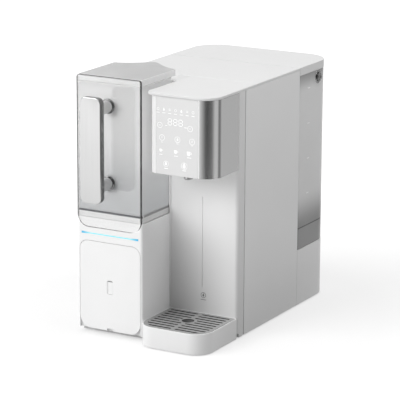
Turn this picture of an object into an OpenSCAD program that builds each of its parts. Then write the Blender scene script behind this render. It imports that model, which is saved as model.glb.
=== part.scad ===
// Countertop water purifier: a filter cabinet with a pull-out jug on it at the left, a hot-water
// dispenser over a drip tray at the right, and a lift-out raw-water tank across the back.
// Millimetres. X runs across the machine, its front faces -Y, and Z points up from the counter.
// Plan depths are measured from the cabinet front, and placed() then centres the whole in Y.

/* [Body] */
// Overall width
body_w = 240; // [232:1:256]
// Height of the top covers above the counter
body_h = 400; // [394:1:420]
// Depth from the cabinet front to the back
body_d = 413; // [405:1:435]
// Thickness of the moulded panels
wall = 2.5; // [2:0.1:3]
// Thickness of the top covers
cover_t = 4; // [3:0.5:5]
// Radius of the two rear vertical corners
rear_r = 46; // [30:1:55]
// Gap between fixed pieces that meet
seam = 0.3; // [0.2:0.1:0.4]
// Width of the shadow groove between the front frame and the side panel
groove_w = 3; // [2:0.5:4]
// Width of the front frame's strip on the right side
strip_w = 20; // [16:1:24]

/* [Feet and base] */
// Height of the rubber feet
foot_h = 2; // [1.6:0.2:2.6]
// Diameter of the rubber feet
foot_d = 18; // [12:1:20]
// Height of the cabinet floor above the counter
cab_z = 8; // [7.5:0.5:10]
// Set-back of the base under the cabinet front
base_set = 12; // [8:1:16]

/* [Cabinet] */
// Width of the filter cabinet
cab_w = 118; // [114:1:122]
// Height of the seat that the jug stands on
seat_z = 190; // [186:1:196]
// Depth of the jug bay
bay_d = 148; // [146:1:154]
// Radius of the cabinet's front vertical edges
cab_r = 4; // [2:0.5:5]
// Length of the light bar
light_l = 103.5; // [80:0.5:106]
// Height of the light bar's face
light_h = 3; // [2:0.5:4]
// Height of the light bar above the counter
light_z = 164.5; // [161:0.5:168]

/* [Filter door] */
// Width of the door
door_w = 110; // [106:0.5:111]
// Height of the door's top edge
door_top = 152; // [150:0.5:155]
// Thickness of the door
door_t = 4; // [3:0.5:4.5]
// Corner radius at the top of the door
door_r = 14; // [8:1:18]
// Corner radius at the bottom of the door
door_low_r = 18; // [12:1:22]
// Gap round the door
door_gap = 0.6; // [0.5:0.1:0.8]
// Width of the push latch in the door
latch_w = 10; // [8:0.5:12]
// Height of the push latch in the door
latch_h = 21.5; // [18:0.5:24]
// Corner radius of the latch button
latch_r = 2.6; // [2:0.2:4]
// Height of the latch centre above the counter
latch_z = 80; // [79:0.5:82]
// Press travel of the latch
latch_travel = 2; // [1.5:0.1:2.2]

/* [Filters] */
// Diameter of the cartridges
cart_d = 62; // [58:0.5:62]
// Distance between the cartridge axes
cart_pitch = 66; // [65:0.5:67]
// Height of the lower cartridge axis
cart_z = 47.5; // [46.5:0.5:48.5]
// Length of the cartridge barrel in a machine of the standard depth
cart_l = 205; // [190:1:210]
// Diameter of the cartridge neck
neck_d = 34; // [30:1:38]
// Running gap round the cartridges
cart_gap = 0.4; // [0.3:0.1:0.5]

/* [Dispenser] */
// Depth of the niche behind the cabinet front
niche_d = 86; // [82:1:92]
// Height of the head's underside
head_z = 274; // [262:1:284]
// Set-back of the head behind the cabinet front
head_set = 6.3; // [5:0.1:9]
// Set-in of the head's left wall from the cabinet
head_in = 9; // [7:0.5:12]
// Radius of the head's left front corner
head_left_r = 12; // [9:0.5:14]
// Radius of the head's right front corner
head_right_r = 27; // [20:0.5:30]
// Thickness of the touch panel
panel_t = 3; // [2.5:0.1:4]
// Thickness of the metal trim
trim_t = 1.5; // [1.2:0.1:2]
// Overhang of the head cover over the head's front
cover_lip = 2.3; // [1:0.1:3]
// Distance of the nozzle axis behind the cabinet front
nozzle_y = 37.4; // [34:0.2:44]
// Diameter of the nozzle
nozzle_d = 15; // [12:0.5:18]
// Drop of the nozzle below the head
nozzle_drop = 11; // [8:0.5:14]

/* [Drip tray] */
// Height of the tray rim
tray_h = 35; // [30:1:42]
// Reach of the tray in front of the cabinet
tray_front = 22; // [16:1:28]
// Radius of the tray's front corners
tray_r = 30; // [20:1:36]
// Wall of the tray
tray_wall = 4; // [3.4:0.2:5]
// Width of the tray rim beside the grille
tray_rim = 1.8; // [1.4:0.1:2.4]
// Thickness of the grille
grille_t = 3; // [2.4:0.2:4]
// Number of slot rows in the grille
slot_rows = 9; // [5:1:10]
// Distance between slot rows
slot_pitch = 10.7; // [9.6:0.1:10.9]
// Width of a slot
slot_w = 4.8; // [3:0.1:6]
// Width of the grille's middle bar
mid_bar = 6; // [4:0.5:10]
// Radius of the drain dish in the grille
dish_r = 10; // [7:0.5:12]
// Width of the ring round the drain dish
dish_ring = 4; // [3:0.5:6]

/* [Jug] */
// Width of the jug
jug_w = 115.6; // [110:0.2:116.4]
// Height of the jug lid above the counter
jug_top = 417; // [412:1:424]
// Depth of the jug behind the cabinet front, without the spout
jug_d = 103; // [98:1:108]
// Distance of the spout tip behind the cabinet front
spout_y = 142; // [132:1:143]
// Width of the spout where it leaves the jug
spout_w = 84; // [64:1:92]
// Height of the spout on the jug wall
spout_h = 62; // [44:1:74]
// Radius of the spout tip
spout_r = 6; // [4:0.5:8]
// Wall of the jug
jug_wall = 2.6; // [2.2:0.1:3.2]
// Height of the jug foot
jug_foot_h = 12; // [9:0.5:15]
// Thickness of the lid
lid_h = 10; // [8:0.5:13]
// Thickness of the clear front plate
face_t = 5; // [4:0.2:5.4]
// Distance that the front plate stands proud of the cabinet
face_proud = 2.3; // [1.8:0.1:3]
// Lap of the front plate below the jug seat
face_lap = 15.5; // [12:0.5:17]
// Lower corner radius of the front plate
face_r = 20; // [14:1:24]

/* [Jug handle] */
// Width of the handle bar
bar_w = 33; // [26:0.5:38]
// Length of the handle bar
bar_l = 164; // [150:1:176]
// Thickness of the handle bar
bar_t = 14; // [10:0.5:16]
// Corner radius of the handle bar
bar_r = 8; // [4:0.5:10]
// Height of the bar's middle above the counter
bar_z = 311; // [304:1:318]
// Diameter of the two posts
post_d = 20.5; // [16:0.5:24]
// Finger gap, the length of the posts
post_l = 37; // [32:0.5:44]
// Distance between the posts
post_pitch = 122; // [108:1:126]

/* [Raw tank] */
// Depth of the tank space
tank_d = 121; // [117:1:125]
// Height of the rear base that the tank stands on
dock_z = 95.7; // [92:0.1:104]
// Height of the tank's own base
tank_base_h = 35; // [33:0.5:38]
// Set-in of the tank wall from the body sides
tank_in = 4; // [3.4:0.2:5]
// How far the tank's wall stays inside the housing's outer faces
tank_flush = 0.5; // [0.3:0.1:1]
// Wall of the tank
tank_wall = 2.8; // [2.4:0.1:3.2]
// Height of the tank lid
tank_lid_h = 13; // [11:0.5:16]
// Distance of the knob axis in front of the tank's round rear corner
knob_y = 9; // [8:0.5:16]
// Height of the knob axis under the top
knob_down = 25; // [24:0.5:28]
// Diameter of the knob
knob_d = 18; // [14:0.5:19]
// Diameter of the knob's spindle
spindle_d = 6; // [5:0.5:8]
// Running gap of the spindle in its bore
spindle_gap = 0.05; // [0.03:0.01:0.08]

/* [Hidden] */
$fn = 96;
cut = 1;

// Side faces, middles and main levels
left_x = -body_w / 2;
right_x = body_w / 2;
cab_x = left_x + cab_w;
cab_mid = (left_x + cab_x) / 2;
niche_mid = (cab_x + right_x) / 2;
cover_z = body_h - cover_t;
tank_y = body_d - tank_d;
bay_back = bay_d + wall;
handle_front = -face_proud - post_l - bar_t;
inlet_face = 2;
middle_y = (body_d + inlet_face + handle_front) / 2;

// Base
pan_t = 2.5;
tongue_t = 2.5;
tongue_z = foot_h + tongue_t;
tongue_in = 8;
pad_d = foot_d + 4;
niche_foot = (right_x - cab_x) / 2 - tongue_in - foot_d / 2 - 8;
rear_foot_in = 34;
front_foot_in = 18;
left_foot_in = 24;
mid_foot_in = 20;
niche_foot_out = 4;
foot_places = [
    [niche_mid - niche_foot, -niche_foot_out],
    [niche_mid + niche_foot, -niche_foot_out],
    [left_x + left_foot_in, base_set + front_foot_in],
    [cab_x - mid_foot_in, base_set + front_foot_in],
    [left_x + rear_r, body_d - rear_foot_in],
    [right_x - rear_r, body_d - rear_foot_in]
];
screw_d = 3;
screw_gap = 0.2;
screw_bite = 7;
screw_head_d = 6;
screw_head_h = 1.6;

// Cabinet and door
frame_t = 4;
front_t = door_t + door_gap + frame_t;
door_x0 = cab_mid - door_w / 2;
door_x1 = cab_mid + door_w / 2;
door_low = cab_z + 1;
frame_in = 6;
catch_d = 5;
catch_gap = 0.4;
catch_h = 11;
catch_reach = 8;
catch_in = 4;
catch_x = door_w / 2 - frame_in - catch_in;
catch_z = [door_low + frame_in + 8, door_top - frame_in - 8];
notch_w = 11;
notch_h = 3.5;
light_t = 5;
latch_gap = 0.4;
latch_stem_d = 5;
latch_room = latch_travel + 3;
guide_floor = 2;
guide_wall = 3;

// Filters
standard_d = 413;
barrel_l = cart_l * body_d / standard_d;
cart_y = front_t + 6;
cart_back = cart_y + barrel_l;
grip_in = 15;
grip_w = 8;
grip_h = 4.5;
cart_axes = [cart_z, cart_z + cart_pitch];
neck_l = 20;
head_block_y = cart_back + 3;
head_block_l = 34;
head_block_w = cart_d + 22;
head_block_top = cart_z + cart_pitch + cart_d / 2 + 6;
cradle_share = 0.42;
cradle_y = cart_y + cradle_share * barrel_l;
cradle_t = 4;
ring_d = 2.4;
port_d = 10;
port_l = 8;
port_y = head_block_y + head_block_l / 2;

// Frame and head
frame_wall = 3;
edge_r = 6;
flange_t = 2.5;
flange_l = 4;
flange_lap = 5;
rib_low = 150;
rib_top = 16;
groove_y = niche_d + strip_w;
side_y = groove_y + groove_w;
head_x = cab_x + head_in;
head_back = niche_d - seam;
panel_x0 = head_x + head_left_r;
panel_x1 = right_x - head_right_r;
trim_fit = 0.2;
line_z = [77, 224];
line_side = 2;
line_w = 1.4;
line_deep = 0.8;
head_cover_x = cab_x + 2.5;
cover_split = bay_d;
hose_d = 6.4;
hose_hole = hose_d + 3.6;
hose_drop = 40;
hose_z = cover_z - hose_drop;
rim_front = 30;
rim_gap = 2;

// Tray
tray_low = foot_h - 0.8;
tray_floor = tongue_z + 0.5;
tray_floor_t = 2.5;
tray_x0 = cab_x + 0.5;
tray_back = niche_d - seam;
tray_back_r = 2;
grille_gap = 0.4;
slot_end = 5.5;
slot_first = niche_d - 10.4;
dish_deep = 6;
dish_wall = 1.6;

// Jug
jug_gap = 0.4;
jug_x0 = cab_mid - jug_w / 2;
jug_x1 = cab_mid + jug_w / 2;
face_back = face_t - face_proud;
jug_front = face_back + 0.2;
jug_back_r = 14;
jug_foot_z = seat_z + jug_gap;
jug_z = jug_foot_z + jug_foot_h;
jug_rim = jug_top - lid_h - jug_gap;
body_in = 0.8;
plug_h = 8;
plug_gap = 2;
face_top_r = 5;
valve_z = jug_z + 22;
valve_d = 19;
valve_flange_d = 27;
valve_flange_t = 2.5;
valve_bore = 13;
valve_seat_d = 8;
valve_l = 22;
poppet_stem_d = 5;
poppet_gap = 0.4;
poppet_t = 2.6;
spigot_d = valve_bore - 1;
spigot_flange_d = 26;
spigot_flange_t = 3;

// Tank
dock_in = 56;
dock_y = tank_y + dock_in;
dock_d = 26;
dock_top = dock_z + 16;
dock_flange_t = 3;
dock_lip = 5;
dock_stub_l = 12;
dock_stub_d = 8;
dock_seal_rise = 4;
dock_mouth_d = 9;
dock_pin_d = 4;
dock_mouth_deep = 6;
dock_spigot_d = 14;
socket_d = dock_spigot_d + 1.2;
tank_foot_z = dock_z + 0.3;
tank_z = tank_foot_z + tank_base_h;
tank_floor_t = 3;
tank_r = rear_r - tank_in;
lid_plate = 3;
lid_skirt = 3;
tank_rim = body_h - lid_plate - 0.3;
tank_lid_z = body_h - tank_lid_h;
knob_axis_y = body_d - rear_r - knob_y;
knob_axis_z = body_h - knob_down;
knob_t = 3.4;
knob_stand = 0.4;
tank_out = tank_in - tank_flush;
tank_front_gap = 1;
tank_front_r = 3;
tank_shoulder = tank_lid_z - 0.5;
pocket_gap = 0.6;
pocket_wall = 1.4;
cam_l = 15;
cam_w = 7;
cam_t = 3;
mark_pitch = 58.5;
mark_low = 186;
mark_w = 9;
mark_h = 1.4;
mark_proud = 0.5;
mark_in = 33;
mark_y = tank_y + mark_in;
strainer_d = 34;
strainer_h = 16;

// Works inside
pump_shift = 4;
pump_rise = 7;
motor_gap = 29;
pump_x = niche_mid - pump_shift;
motor_d = 54;
motor_y = niche_d + frame_wall + motor_gap;
motor_l = 78;
pump_head_l = 46;
pump_head_w = 62;
mount_h = 6;
pump_z = cab_z + mount_h + pump_rise + pump_head_w / 2;
saddle_t = 8;
saddle_half = 22;
saddle_drop = 8;
mount_d = 14;
bracket_t = 3;
bracket_w = 84;
bracket_l = motor_l + pump_head_l - saddle_t;
mount_in = 10;
mount_places = [
    for (x = [mount_in - bracket_w / 2, bracket_w / 2 - mount_in], y = [mount_in, bracket_l - mount_in])
        [pump_x + x, motor_y + y]
];
manifold_screw_x = 30;
manifold_screws = [for (side = [-1, 1]) [cab_mid + side * manifold_screw_x, port_y]];
heater_d = 40;
heater_h = 116;
heater_drop = 60;
heater_stand = 30;
heater_stub_d = 10;
heater_stub_l = 8;
heater_rim = 2;
heater_cap = 6;
heater_y = niche_d + frame_wall + heater_stand;
heater_z = [head_z - heater_drop, head_z - heater_drop + heater_h];
strap_w = 20;
strap_h = 10;
strap_in = 24;
back_plate_w = 36;
back_plate_t = 2;
board_t = 1.6;
board_in = 8;
board_rise = 12;
board_stand = 4;
pin_in = 5;
pin_d = 6;
digits_w = 22;
digits_h = 16;
plug_deep = 7;
plug_tall = 10;
supply_w = 72;
supply_l = 58;
supply_side = 20;
supply_front = 12;
supply_x = [right_x - supply_side - supply_w, right_x - supply_side];
supply_y = [tank_y + supply_front, tank_y + supply_front + supply_l];
standoff_h = 8;
standoff_d = 7;
standoff_in = 5;
part_in = 8;
coil = [30, 28, 26];
capacitor_d = 18;
capacitor_h = 30;
heat_sink = [24, 6, 32];
cable_w = 24;
cable_h = 12;
cable_z = 30;
inlet_x = 46;
inlet_z = 44;
inlet_w = 31;
inlet_h = 24;
valve_pitch = 40;
valve_shift = 17;
valve_x = [niche_mid - valve_shift - valve_pitch / 2, niche_mid - valve_shift + valve_pitch / 2];
valve_half = 11;
valve_low = 8;
valve_high = 14;
valve_deep = 24;
valve_reach = 17;
winding_d = 20;
winding_h = 24;
rail_side = 20;
rail_t = 2;
valve_row_z = 176;
lower_hose_z = 70;

// Shapes that repeat

module placed() {
    translate([0, -middle_y, 0]) children();
}

module slab(z0, z1) {
    translate([0, 0, z0]) linear_extrude(z1 - z0) children();
}

// Extrudes an outline drawn in X and Z from depth y0 to depth y1.
module plate_y(y0, y1) {
    rotate([90, 0, 0]) translate([0, 0, -y1]) linear_extrude(y1 - y0) children();
}

// Extrudes an outline drawn in Y and Z from x0 to x1.
module plate_x(x0, x1) {
    rotate([90, 0, 90]) translate([0, 0, x0]) linear_extrude(x1 - x0) children();
}

module rod_y(x, z, y0, y1, d) {
    plate_y(y0, y1) translate([x, z]) circle(d = d);
}

module rod_z(x, y, z0, z1, d) {
    translate([x, y, z0]) cylinder(d = d, h = z1 - z0);
}

module box(x0, x1, y0, y1, z0, z1) {
    translate([x0, y0, z0]) cube([x1 - x0, y1 - y0, z1 - z0]);
}

module screw_hole(place, z0, z1) {
    rod_z(place[0], place[1], z0, z1, screw_d + 2 * screw_gap);
}

module corner_cut(x, y, flip_x, flip_y, r) {
    if (r > 0)
        translate([x, y])
            mirror([flip_x, 0, 0]) mirror([0, flip_y, 0])
                difference() {
                    translate([-cut, -cut]) square(r + cut);
                    translate([r, r]) circle(r);
                }
}

// A rectangle with its own radius at each corner: low left, low right, high left, high right.
module round_plan(x0, x1, y0, y1, low_l, low_r, high_l, high_r) {
    difference() {
        translate([x0, y0]) square([x1 - x0, y1 - y0]);
        corner_cut(x0, y0, 0, 0, low_l);
        corner_cut(x1, y0, 1, 0, low_r);
        corner_cut(x0, y1, 0, 1, high_l);
        corner_cut(x1, y1, 1, 1, high_r);
    }
}

module rear_plan(inset, front_in) {
    r = rear_r - inset;
    round_plan(left_x + inset, right_x - inset, tank_y + front_in, body_d - inset, 0, 0, r, r);
}

module head_plan(inset, back) {
    left_r = max(head_left_r - inset, 1);
    right_r = head_right_r - inset;
    round_plan(head_x + inset, right_x - inset, head_set + inset, back, left_r, right_r, 0, 0);
}

module tray_plan(inset) {
    r = tray_r - inset;
    round_plan(tray_x0 + inset, right_x - inset, inset - tray_front, tray_back - inset, r, r,
        tray_back_r, tray_back_r);
}

module door_plan(grow) {
    round_plan(door_x0 - grow, door_x1 + grow, door_low - grow, door_top + grow, door_low_r + grow,
        door_low_r + grow, door_r + grow, door_r + grow);
}

module face_plan(grow) {
    round_plan(jug_x0 - grow, jug_x1 + grow, seat_z - face_lap - grow, jug_top + grow, face_r + grow,
        face_r + grow, face_top_r, face_top_r);
}

module latch_plan(grow) {
    half = latch_w / 2 + grow;
    r = latch_r + grow;
    round_plan(cab_mid - half, cab_mid + half, latch_z - latch_h / 2 - grow, latch_z + latch_h / 2 + grow,
        r, r, r, r);
}

// Jug outline without the spout.
module jug_plan(inset) {
    r = jug_back_r - inset;
    round_plan(jug_x0 + body_in + inset, jug_x1 - body_in - inset, jug_front + inset, jug_d - inset,
        1, 1, r, r);
}

// Spout outline: two straight flanks that run tangent into a round tip.
module spout_plan(inset) {
    tip_r = max(spout_r - inset, 1);
    tip_y = spout_y - spout_r;
    half = spout_w / 2 - inset;
    root_y = jug_d - jug_back_r;
    reach = tip_y - root_y;
    lean = atan2(half, reach);
    turn = asin(tip_r / norm([half, reach]));
    side = lean - turn;
    touch = [tip_r * cos(side), tip_r * sin(side)];
    translate([cab_mid, 0]) {
        polygon([
            [-half, root_y], [half, root_y],
            [touch[0], tip_y + touch[1]], [-touch[0], tip_y + touch[1]]
        ]);
        translate([0, tip_y]) circle(tip_r);
    }
}

// Everything above the sloping underside of the spout.
module over_spout_slope(inset) {
    slope = atan2(spout_h, spout_y - jug_d + jug_back_r);
    big = 2 * jug_w;
    translate([cab_mid, jug_d - jug_back_r, jug_rim - spout_h])
        rotate([slope, 0, 0])
            translate([-big / 2, -big, inset])
                cube([big, 2 * big, big]);
}

module jug_solid(inset, z0, z1) {
    slab(z0, z1) jug_plan(inset);
    intersection() {
        slab(jug_rim - spout_h, z1) spout_plan(inset);
        over_spout_slope(inset);
    }
}

module lid_plan(inset) {
    jug_plan(inset);
    spout_plan(inset);
}

// A square-cornered run of hose through a list of points, rounded at each turn.
module hose_run(points) {
    for (i = [0 : len(points) - 2]) {
        step = points[i + 1] - points[i];
        flat = norm([step[0], step[1]]);
        translate(points[i])
            rotate([0, atan2(flat, step[2]), atan2(step[1], step[0])])
                cylinder(d = hose_d, h = norm(step));
        if (i > 0)
            translate(points[i]) sphere(d = hose_d);
    }
}

// Base

module base_pan() {
    x0 = left_x + wall + seam;
    x1 = right_x - wall - seam;
    back = tank_y - seam;
    right_front = niche_d + frame_wall + seam;
    rib = 4;
    rows = 3;
    pitch = (back - right_front - rib) / rows;
    color("gainsboro") placed() {
        difference() {
            union() {
                box(x0, cab_x - seam, base_set, back, foot_h, cab_z);
                box(cab_x - seam, x1, right_front, back, foot_h, cab_z);
            }
            box(x0 + rib, cab_x - seam - rib, base_set + rib, right_front, foot_h - cut, cab_z - pan_t);
            for (row = [0 : rows - 1], side = [0, 1]) {
                y0 = right_front + rib + row * pitch;
                px0 = side == 0 ? x0 + rib : rib / 2;
                px1 = side == 0 ? -rib / 2 : x1 - rib;
                box(px0, px1, y0, y0 + pitch - rib, foot_h - cut, cab_z - pan_t);
            }
            for (p = concat(mount_places, manifold_screws)) {
                screw_hole(p, foot_h - cut, cab_z + cut);
                rod_z(p[0], p[1], foot_h - cut, cab_z - pan_t, screw_head_d + 1);
            }
        }
        for (i = [2, 3])
            rod_z(foot_places[i][0], foot_places[i][1], foot_h, cab_z - pan_t, pad_d);
        slab(foot_h, tongue_z)
            round_plan(tray_x0 + tongue_in, right_x - tongue_in, tongue_in - tray_front, right_front + rib,
                tray_r - tongue_in, tray_r - tongue_in, 0, 0);
    }
}

module rubber_feet() {
    color("dimgray") placed()
        for (p = foot_places)
            rod_z(p[0], p[1], 0, foot_h, foot_d);
}

module case_screws() {
    seat = cab_z - pan_t;
    color("silver") placed()
        for (p = concat(mount_places, manifold_screws))
            difference() {
                union() {
                    rod_z(p[0], p[1], seat - screw_head_h, seat, screw_head_d);
                    rod_z(p[0], p[1], seat - screw_head_h, cab_z + screw_bite, screw_d);
                }
                rod_z(p[0], p[1], seat - screw_head_h - cut, seat - screw_head_h / 2, screw_d - 0.6);
            }
}

// Cabinet

module cabinet_shell() {
    recess_y = door_t + door_gap;
    open_x0 = door_x0 + frame_in;
    open_x1 = door_x1 - frame_in;
    light_x0 = cab_mid - light_l / 2;
    color("white") placed()
        difference() {
            slab(cab_z, seat_z)
                round_plan(left_x, cab_x, 0, bay_back, cab_r, cab_r, 0, 0);
            box(left_x + wall, cab_x - wall, front_t, bay_back + cut, cab_z + wall, seat_z - wall);
            plate_y(-cut, recess_y) {
                door_plan(door_gap);
                translate([door_x0 - door_gap, cab_z - cut])
                    square([door_w + 2 * door_gap, door_low_r + 2]);
            }
            plate_y(0, front_t + cut)
                round_plan(open_x0, open_x1, door_low + frame_in, door_top - frame_in,
                    6, 6, 6, 6);
            plate_y(-cut, face_back + jug_gap + 0.2) face_plan(jug_gap + 0.2);
            box(light_x0 - 0.2, light_x0 + light_l + 0.2, -cut, light_t + 0.2,
                light_z - light_h / 2 - 0.2, light_z + light_h / 2 + 0.2);
        }
}

module light_bar() {
    x0 = cab_mid - light_l / 2;
    color("paleturquoise") placed()
        plate_y(0, light_t)
            round_plan(x0, x0 + light_l, light_z - light_h / 2, light_z + light_h / 2, 1, 1, 1, 1);
}

module filter_cradle() {
    x0 = left_x + wall + seam;
    x1 = cab_x - wall - seam;
    color("lightgray") placed()
        difference() {
            plate_y(cradle_y, cradle_y + cradle_t)
                round_plan(x0, x1, cab_z + wall, head_block_top, 0, 0, 12, 12);
            for (z = cart_axes)
                rod_y(cab_mid, z, cradle_y - cut, cradle_y + cradle_t + cut, cart_d + 2 * cart_gap);
        }
}

module door_catches() {
    color("darkgray") placed()
        for (side = [-1, 1], z = catch_z) {
            x = cab_mid + side * catch_x;
            inner = x - side * catch_h / 2;
            outer = cab_mid + side * door_w / 2;
            difference() {
                box(min(inner, outer), max(inner, outer), front_t, front_t + catch_reach, z - catch_h / 2,
                    z + catch_h / 2);
                rod_y(x, z, front_t - cut, front_t + catch_reach + cut, catch_d + 2 * catch_gap);
            }
        }
}

module filter_door() {
    color("white") placed() {
        difference() {
            plate_y(0, door_t) door_plan(0);
            plate_y(-cut, door_t + cut) latch_plan(latch_gap);
            plate_y(-cut, door_t + cut)
                translate([cab_mid - notch_w / 2, door_low - cut])
                    square([notch_w, notch_h + cut]);
        }
        for (side = [-1, 1], z = catch_z)
            rod_y(cab_mid + side * catch_x, z, door_t - 0.5, front_t + catch_reach - 1, catch_d);
        latch_guide();
    }
}

// Guide behind the door that holds the latch's stem.
module latch_guide() {
    difference() {
        plate_y(door_t - 0.5, door_t + latch_room + guide_floor) latch_plan(guide_wall);
        plate_y(door_t - cut, door_t + latch_room) latch_plan(latch_gap);
        rod_y(cab_mid, latch_z, door_t, door_t + latch_room + guide_floor + cut, latch_stem_d + 2 * latch_gap);
    }
}

module latch_button() {
    color("gainsboro") placed() {
        difference() {
            plate_y(0.4, door_t - 0.6) latch_plan(0);
            plate_y(0.4 - cut, 0.8) latch_plan(-1.5);
        }
        rod_y(cab_mid, latch_z, door_t - 1, door_t + latch_room + guide_floor, latch_stem_d);
    }
}

// Side panels and frame

module panel_ribs(x0, x1, y0, y1) {
    for (f = [0.25, 0.5, 0.75])
        box(x0, x1, y0 + f * (y1 - y0) - 1, y0 + f * (y1 - y0) + 1, cab_z + rib_low, cover_z - rib_top);
}

module left_side_panel() {
    y0 = bay_back + seam;
    y1 = tank_y - seam;
    color("white") placed() {
        box(left_x, left_x + wall, y0, y1, foot_h, cover_z);
        panel_ribs(left_x + wall - 0.5, left_x + wall + 3, y0, y1);
    }
}

module right_side_panel() {
    y1 = tank_y - seam;
    color("lightgray") placed() {
        box(right_x - wall, right_x, side_y, y1, foot_h, cover_z);
        panel_ribs(right_x - wall - 3, right_x - wall + 0.5, side_y, y1);
    }
}

// The niche wall, its round right corner and the strip on the side, seen from above.
module frame_plan() {
    difference() {
        union() {
            translate([cab_x + seam, niche_d]) square([right_x - cab_x - seam, frame_wall]);
            translate([right_x - wall - edge_r, niche_d]) square([wall + edge_r, frame_wall + edge_r]);
            strip_plan();
        }
        corner_cut(right_x, niche_d, 1, 0, edge_r);
    }
}

module strip_plan() {
    translate([right_x - wall, niche_d + edge_r]) square([wall, strip_w - edge_r]);
}

module front_frame() {
    inner = right_x - wall - seam;
    color("lightgray") placed()
        difference() {
            union() {
                slab(cab_z + seam, cover_z) frame_plan();
                slab(foot_h, cover_z) strip_plan();
                box(inner - flange_t, inner + seam, groove_y - flange_l, groove_y, cab_z + seam, cover_z);
                box(inner - flange_t, inner, groove_y - flange_l, side_y + flange_lap, cab_z + seam, cover_z);
            }
            box(niche_mid - line_side - line_w / 2, niche_mid - line_side + line_w / 2, niche_d - cut,
                niche_d + line_deep, line_z[0], line_z[1]);
            rod_y(niche_mid, hose_z, niche_d - cut, niche_d + frame_wall + cut, hose_hole);
        }
}

module bay_wall() {
    x0 = cab_x + seam;
    front = niche_d + frame_wall + seam;
    color("lightgray") placed()
        difference() {
            union() {
                box(left_x, x0 + wall, bay_d, bay_back, seat_z, cover_z);
                box(x0, x0 + wall, front, bay_back, seat_z, cover_z);
            }
            rod_y(cab_mid, valve_z, bay_d - cut, bay_back + cut, spigot_d + 0.4);
        }
}

// Head

module trim_zone(fit) {
    intersection() {
        difference() {
            head_plan(0, head_back);
            head_plan(trim_t - fit, head_back + cut);
        }
        translate([panel_x1, 0]) square([body_w, body_d]);
    }
}

module head_shell() {
    color("white") placed()
        difference() {
            slab(head_z, cover_z) head_plan(0, head_back);
            slab(head_z - cut, cover_z + cut) trim_zone(0);
            box(panel_x0, panel_x1 + cut, head_set - cut, head_set + panel_t, head_z - cut, cover_z + cut);
            slab(head_z + wall, cover_z + cut) head_plan(panel_t + wall, head_back + cut);
            rod_z(niche_mid, nozzle_y, head_z - cut, head_z + wall + cut, nozzle_d + 0.6);
        }
}

module head_trim() {
    color("silver") placed()
        slab(head_z, cover_z) trim_zone(trim_fit);
}

module touch_panel() {
    color("gainsboro") placed()
        box(panel_x0 + 0.1, panel_x1 - 0.1, head_set, head_set + panel_t - trim_fit, head_z, cover_z);
}

module display_board() {
    x0 = panel_x0 + board_in;
    x1 = panel_x1 - board_in;
    back = head_set + panel_t + wall + seam;
    face = back + board_stand;
    z0 = head_z + board_rise;
    z1 = cover_z - board_rise;
    color("seagreen") placed() {
        box(x0, x1, face, face + board_t, z0, z1);
        for (x = [x0 + pin_in, x1 - pin_in], z = [z0 + pin_in, z1 - pin_in])
            rod_y(x, z, back, face + board_t / 2, pin_d);
        translate([niche_mid - digits_w, back, z1 - 2 * digits_h])
            cube([1.5 * digits_w, board_stand + board_t / 2, digits_h]);
        box(x0 + board_rise, x1 - board_rise, face, face + plug_deep, z0 + board_in, z0 + board_in + plug_tall);
    }
}

module head_cover() {
    x_r = head_right_r + cover_lip;
    front = head_set - cover_lip;
    color("white") placed() {
        slab(cover_z, body_h)
            round_plan(head_cover_x, right_x, front, cover_split - seam, head_left_r + cover_lip, x_r, 0, 0);
        cover_lip_ring(head_x + panel_t + wall + seam, right_x - panel_t - wall - rim_gap,
            head_set + rim_front, head_back - rim_gap);
    }
}

// Locating rim under a cover.
module cover_lip_ring(x0, x1, y0, y1) {
    rim = 1.6;
    difference() {
        box(x0, x1, y0, y1, cover_z - 5, cover_z + 0.5);
        box(x0 + rim, x1 - rim, y0 + rim, y1 - rim, cover_z - 5 - cut, cover_z + 0.5);
    }
}

module top_cover() {
    y1 = tank_y - seam;
    color("white") placed() {
        slab(cover_z, body_h)
            round_plan(left_x, right_x, cover_split, y1, 0, 0, 0, 0);
        cover_lip_ring(left_x + wall + 5, right_x - wall - 5, bay_back + 3, y1 - wall - 3);
    }
}

module outlet_nozzle() {
    tip = head_z - nozzle_drop;
    flange = head_z + wall;
    color("dimgray") placed()
        translate([niche_mid, nozzle_y, 0])
            rotate_extrude()
                polygon([
                    [4, tip + 3], [4, flange + 22], [4.6, flange + 22], [6, flange + 18], [5, flange + 12],
                    [nozzle_d / 2 + 4, flange + 3], [nozzle_d / 2 + 4, flange],
                    [nozzle_d / 2, flange], [nozzle_d / 2, tip + 1.5], [nozzle_d / 2 - 1.5, tip], [5.5, tip]
                ]);
}

module nozzle_collar() {
    color("silver") placed()
        difference() {
            rod_z(niche_mid, nozzle_y, head_z - 2, head_z, nozzle_d + 9);
            rod_z(niche_mid, nozzle_y, head_z - 2 - cut, head_z + cut, nozzle_d + 0.6);
        }
}

// Rear

module rear_base() {
    slots = 7;
    slot_step = 9;
    slot_w = 3;
    slot_h = 24;
    slot_x = -54;
    slot_z = 34;
    color("white") placed()
        difference() {
            slab(foot_h, dock_z) rear_plan(0, 0);
            slab(foot_h + wall, dock_z - wall) rear_plan(wall, -cut);
            rod_z(0, dock_y, dock_z - wall - cut, dock_z + cut, dock_d + 0.4);
            plate_y(body_d - wall - cut, body_d + cut) inlet_plan(2);
            for (i = [0 : slots - 1])
                plate_y(body_d - wall - cut, body_d + cut)
                    translate([slot_x + i * slot_step, slot_z]) {
                        square([slot_w, slot_h]);
                        translate([slot_w / 2, 0]) circle(slot_w / 2);
                        translate([slot_w / 2, slot_h]) circle(slot_w / 2);
                    }
        }
}

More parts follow.
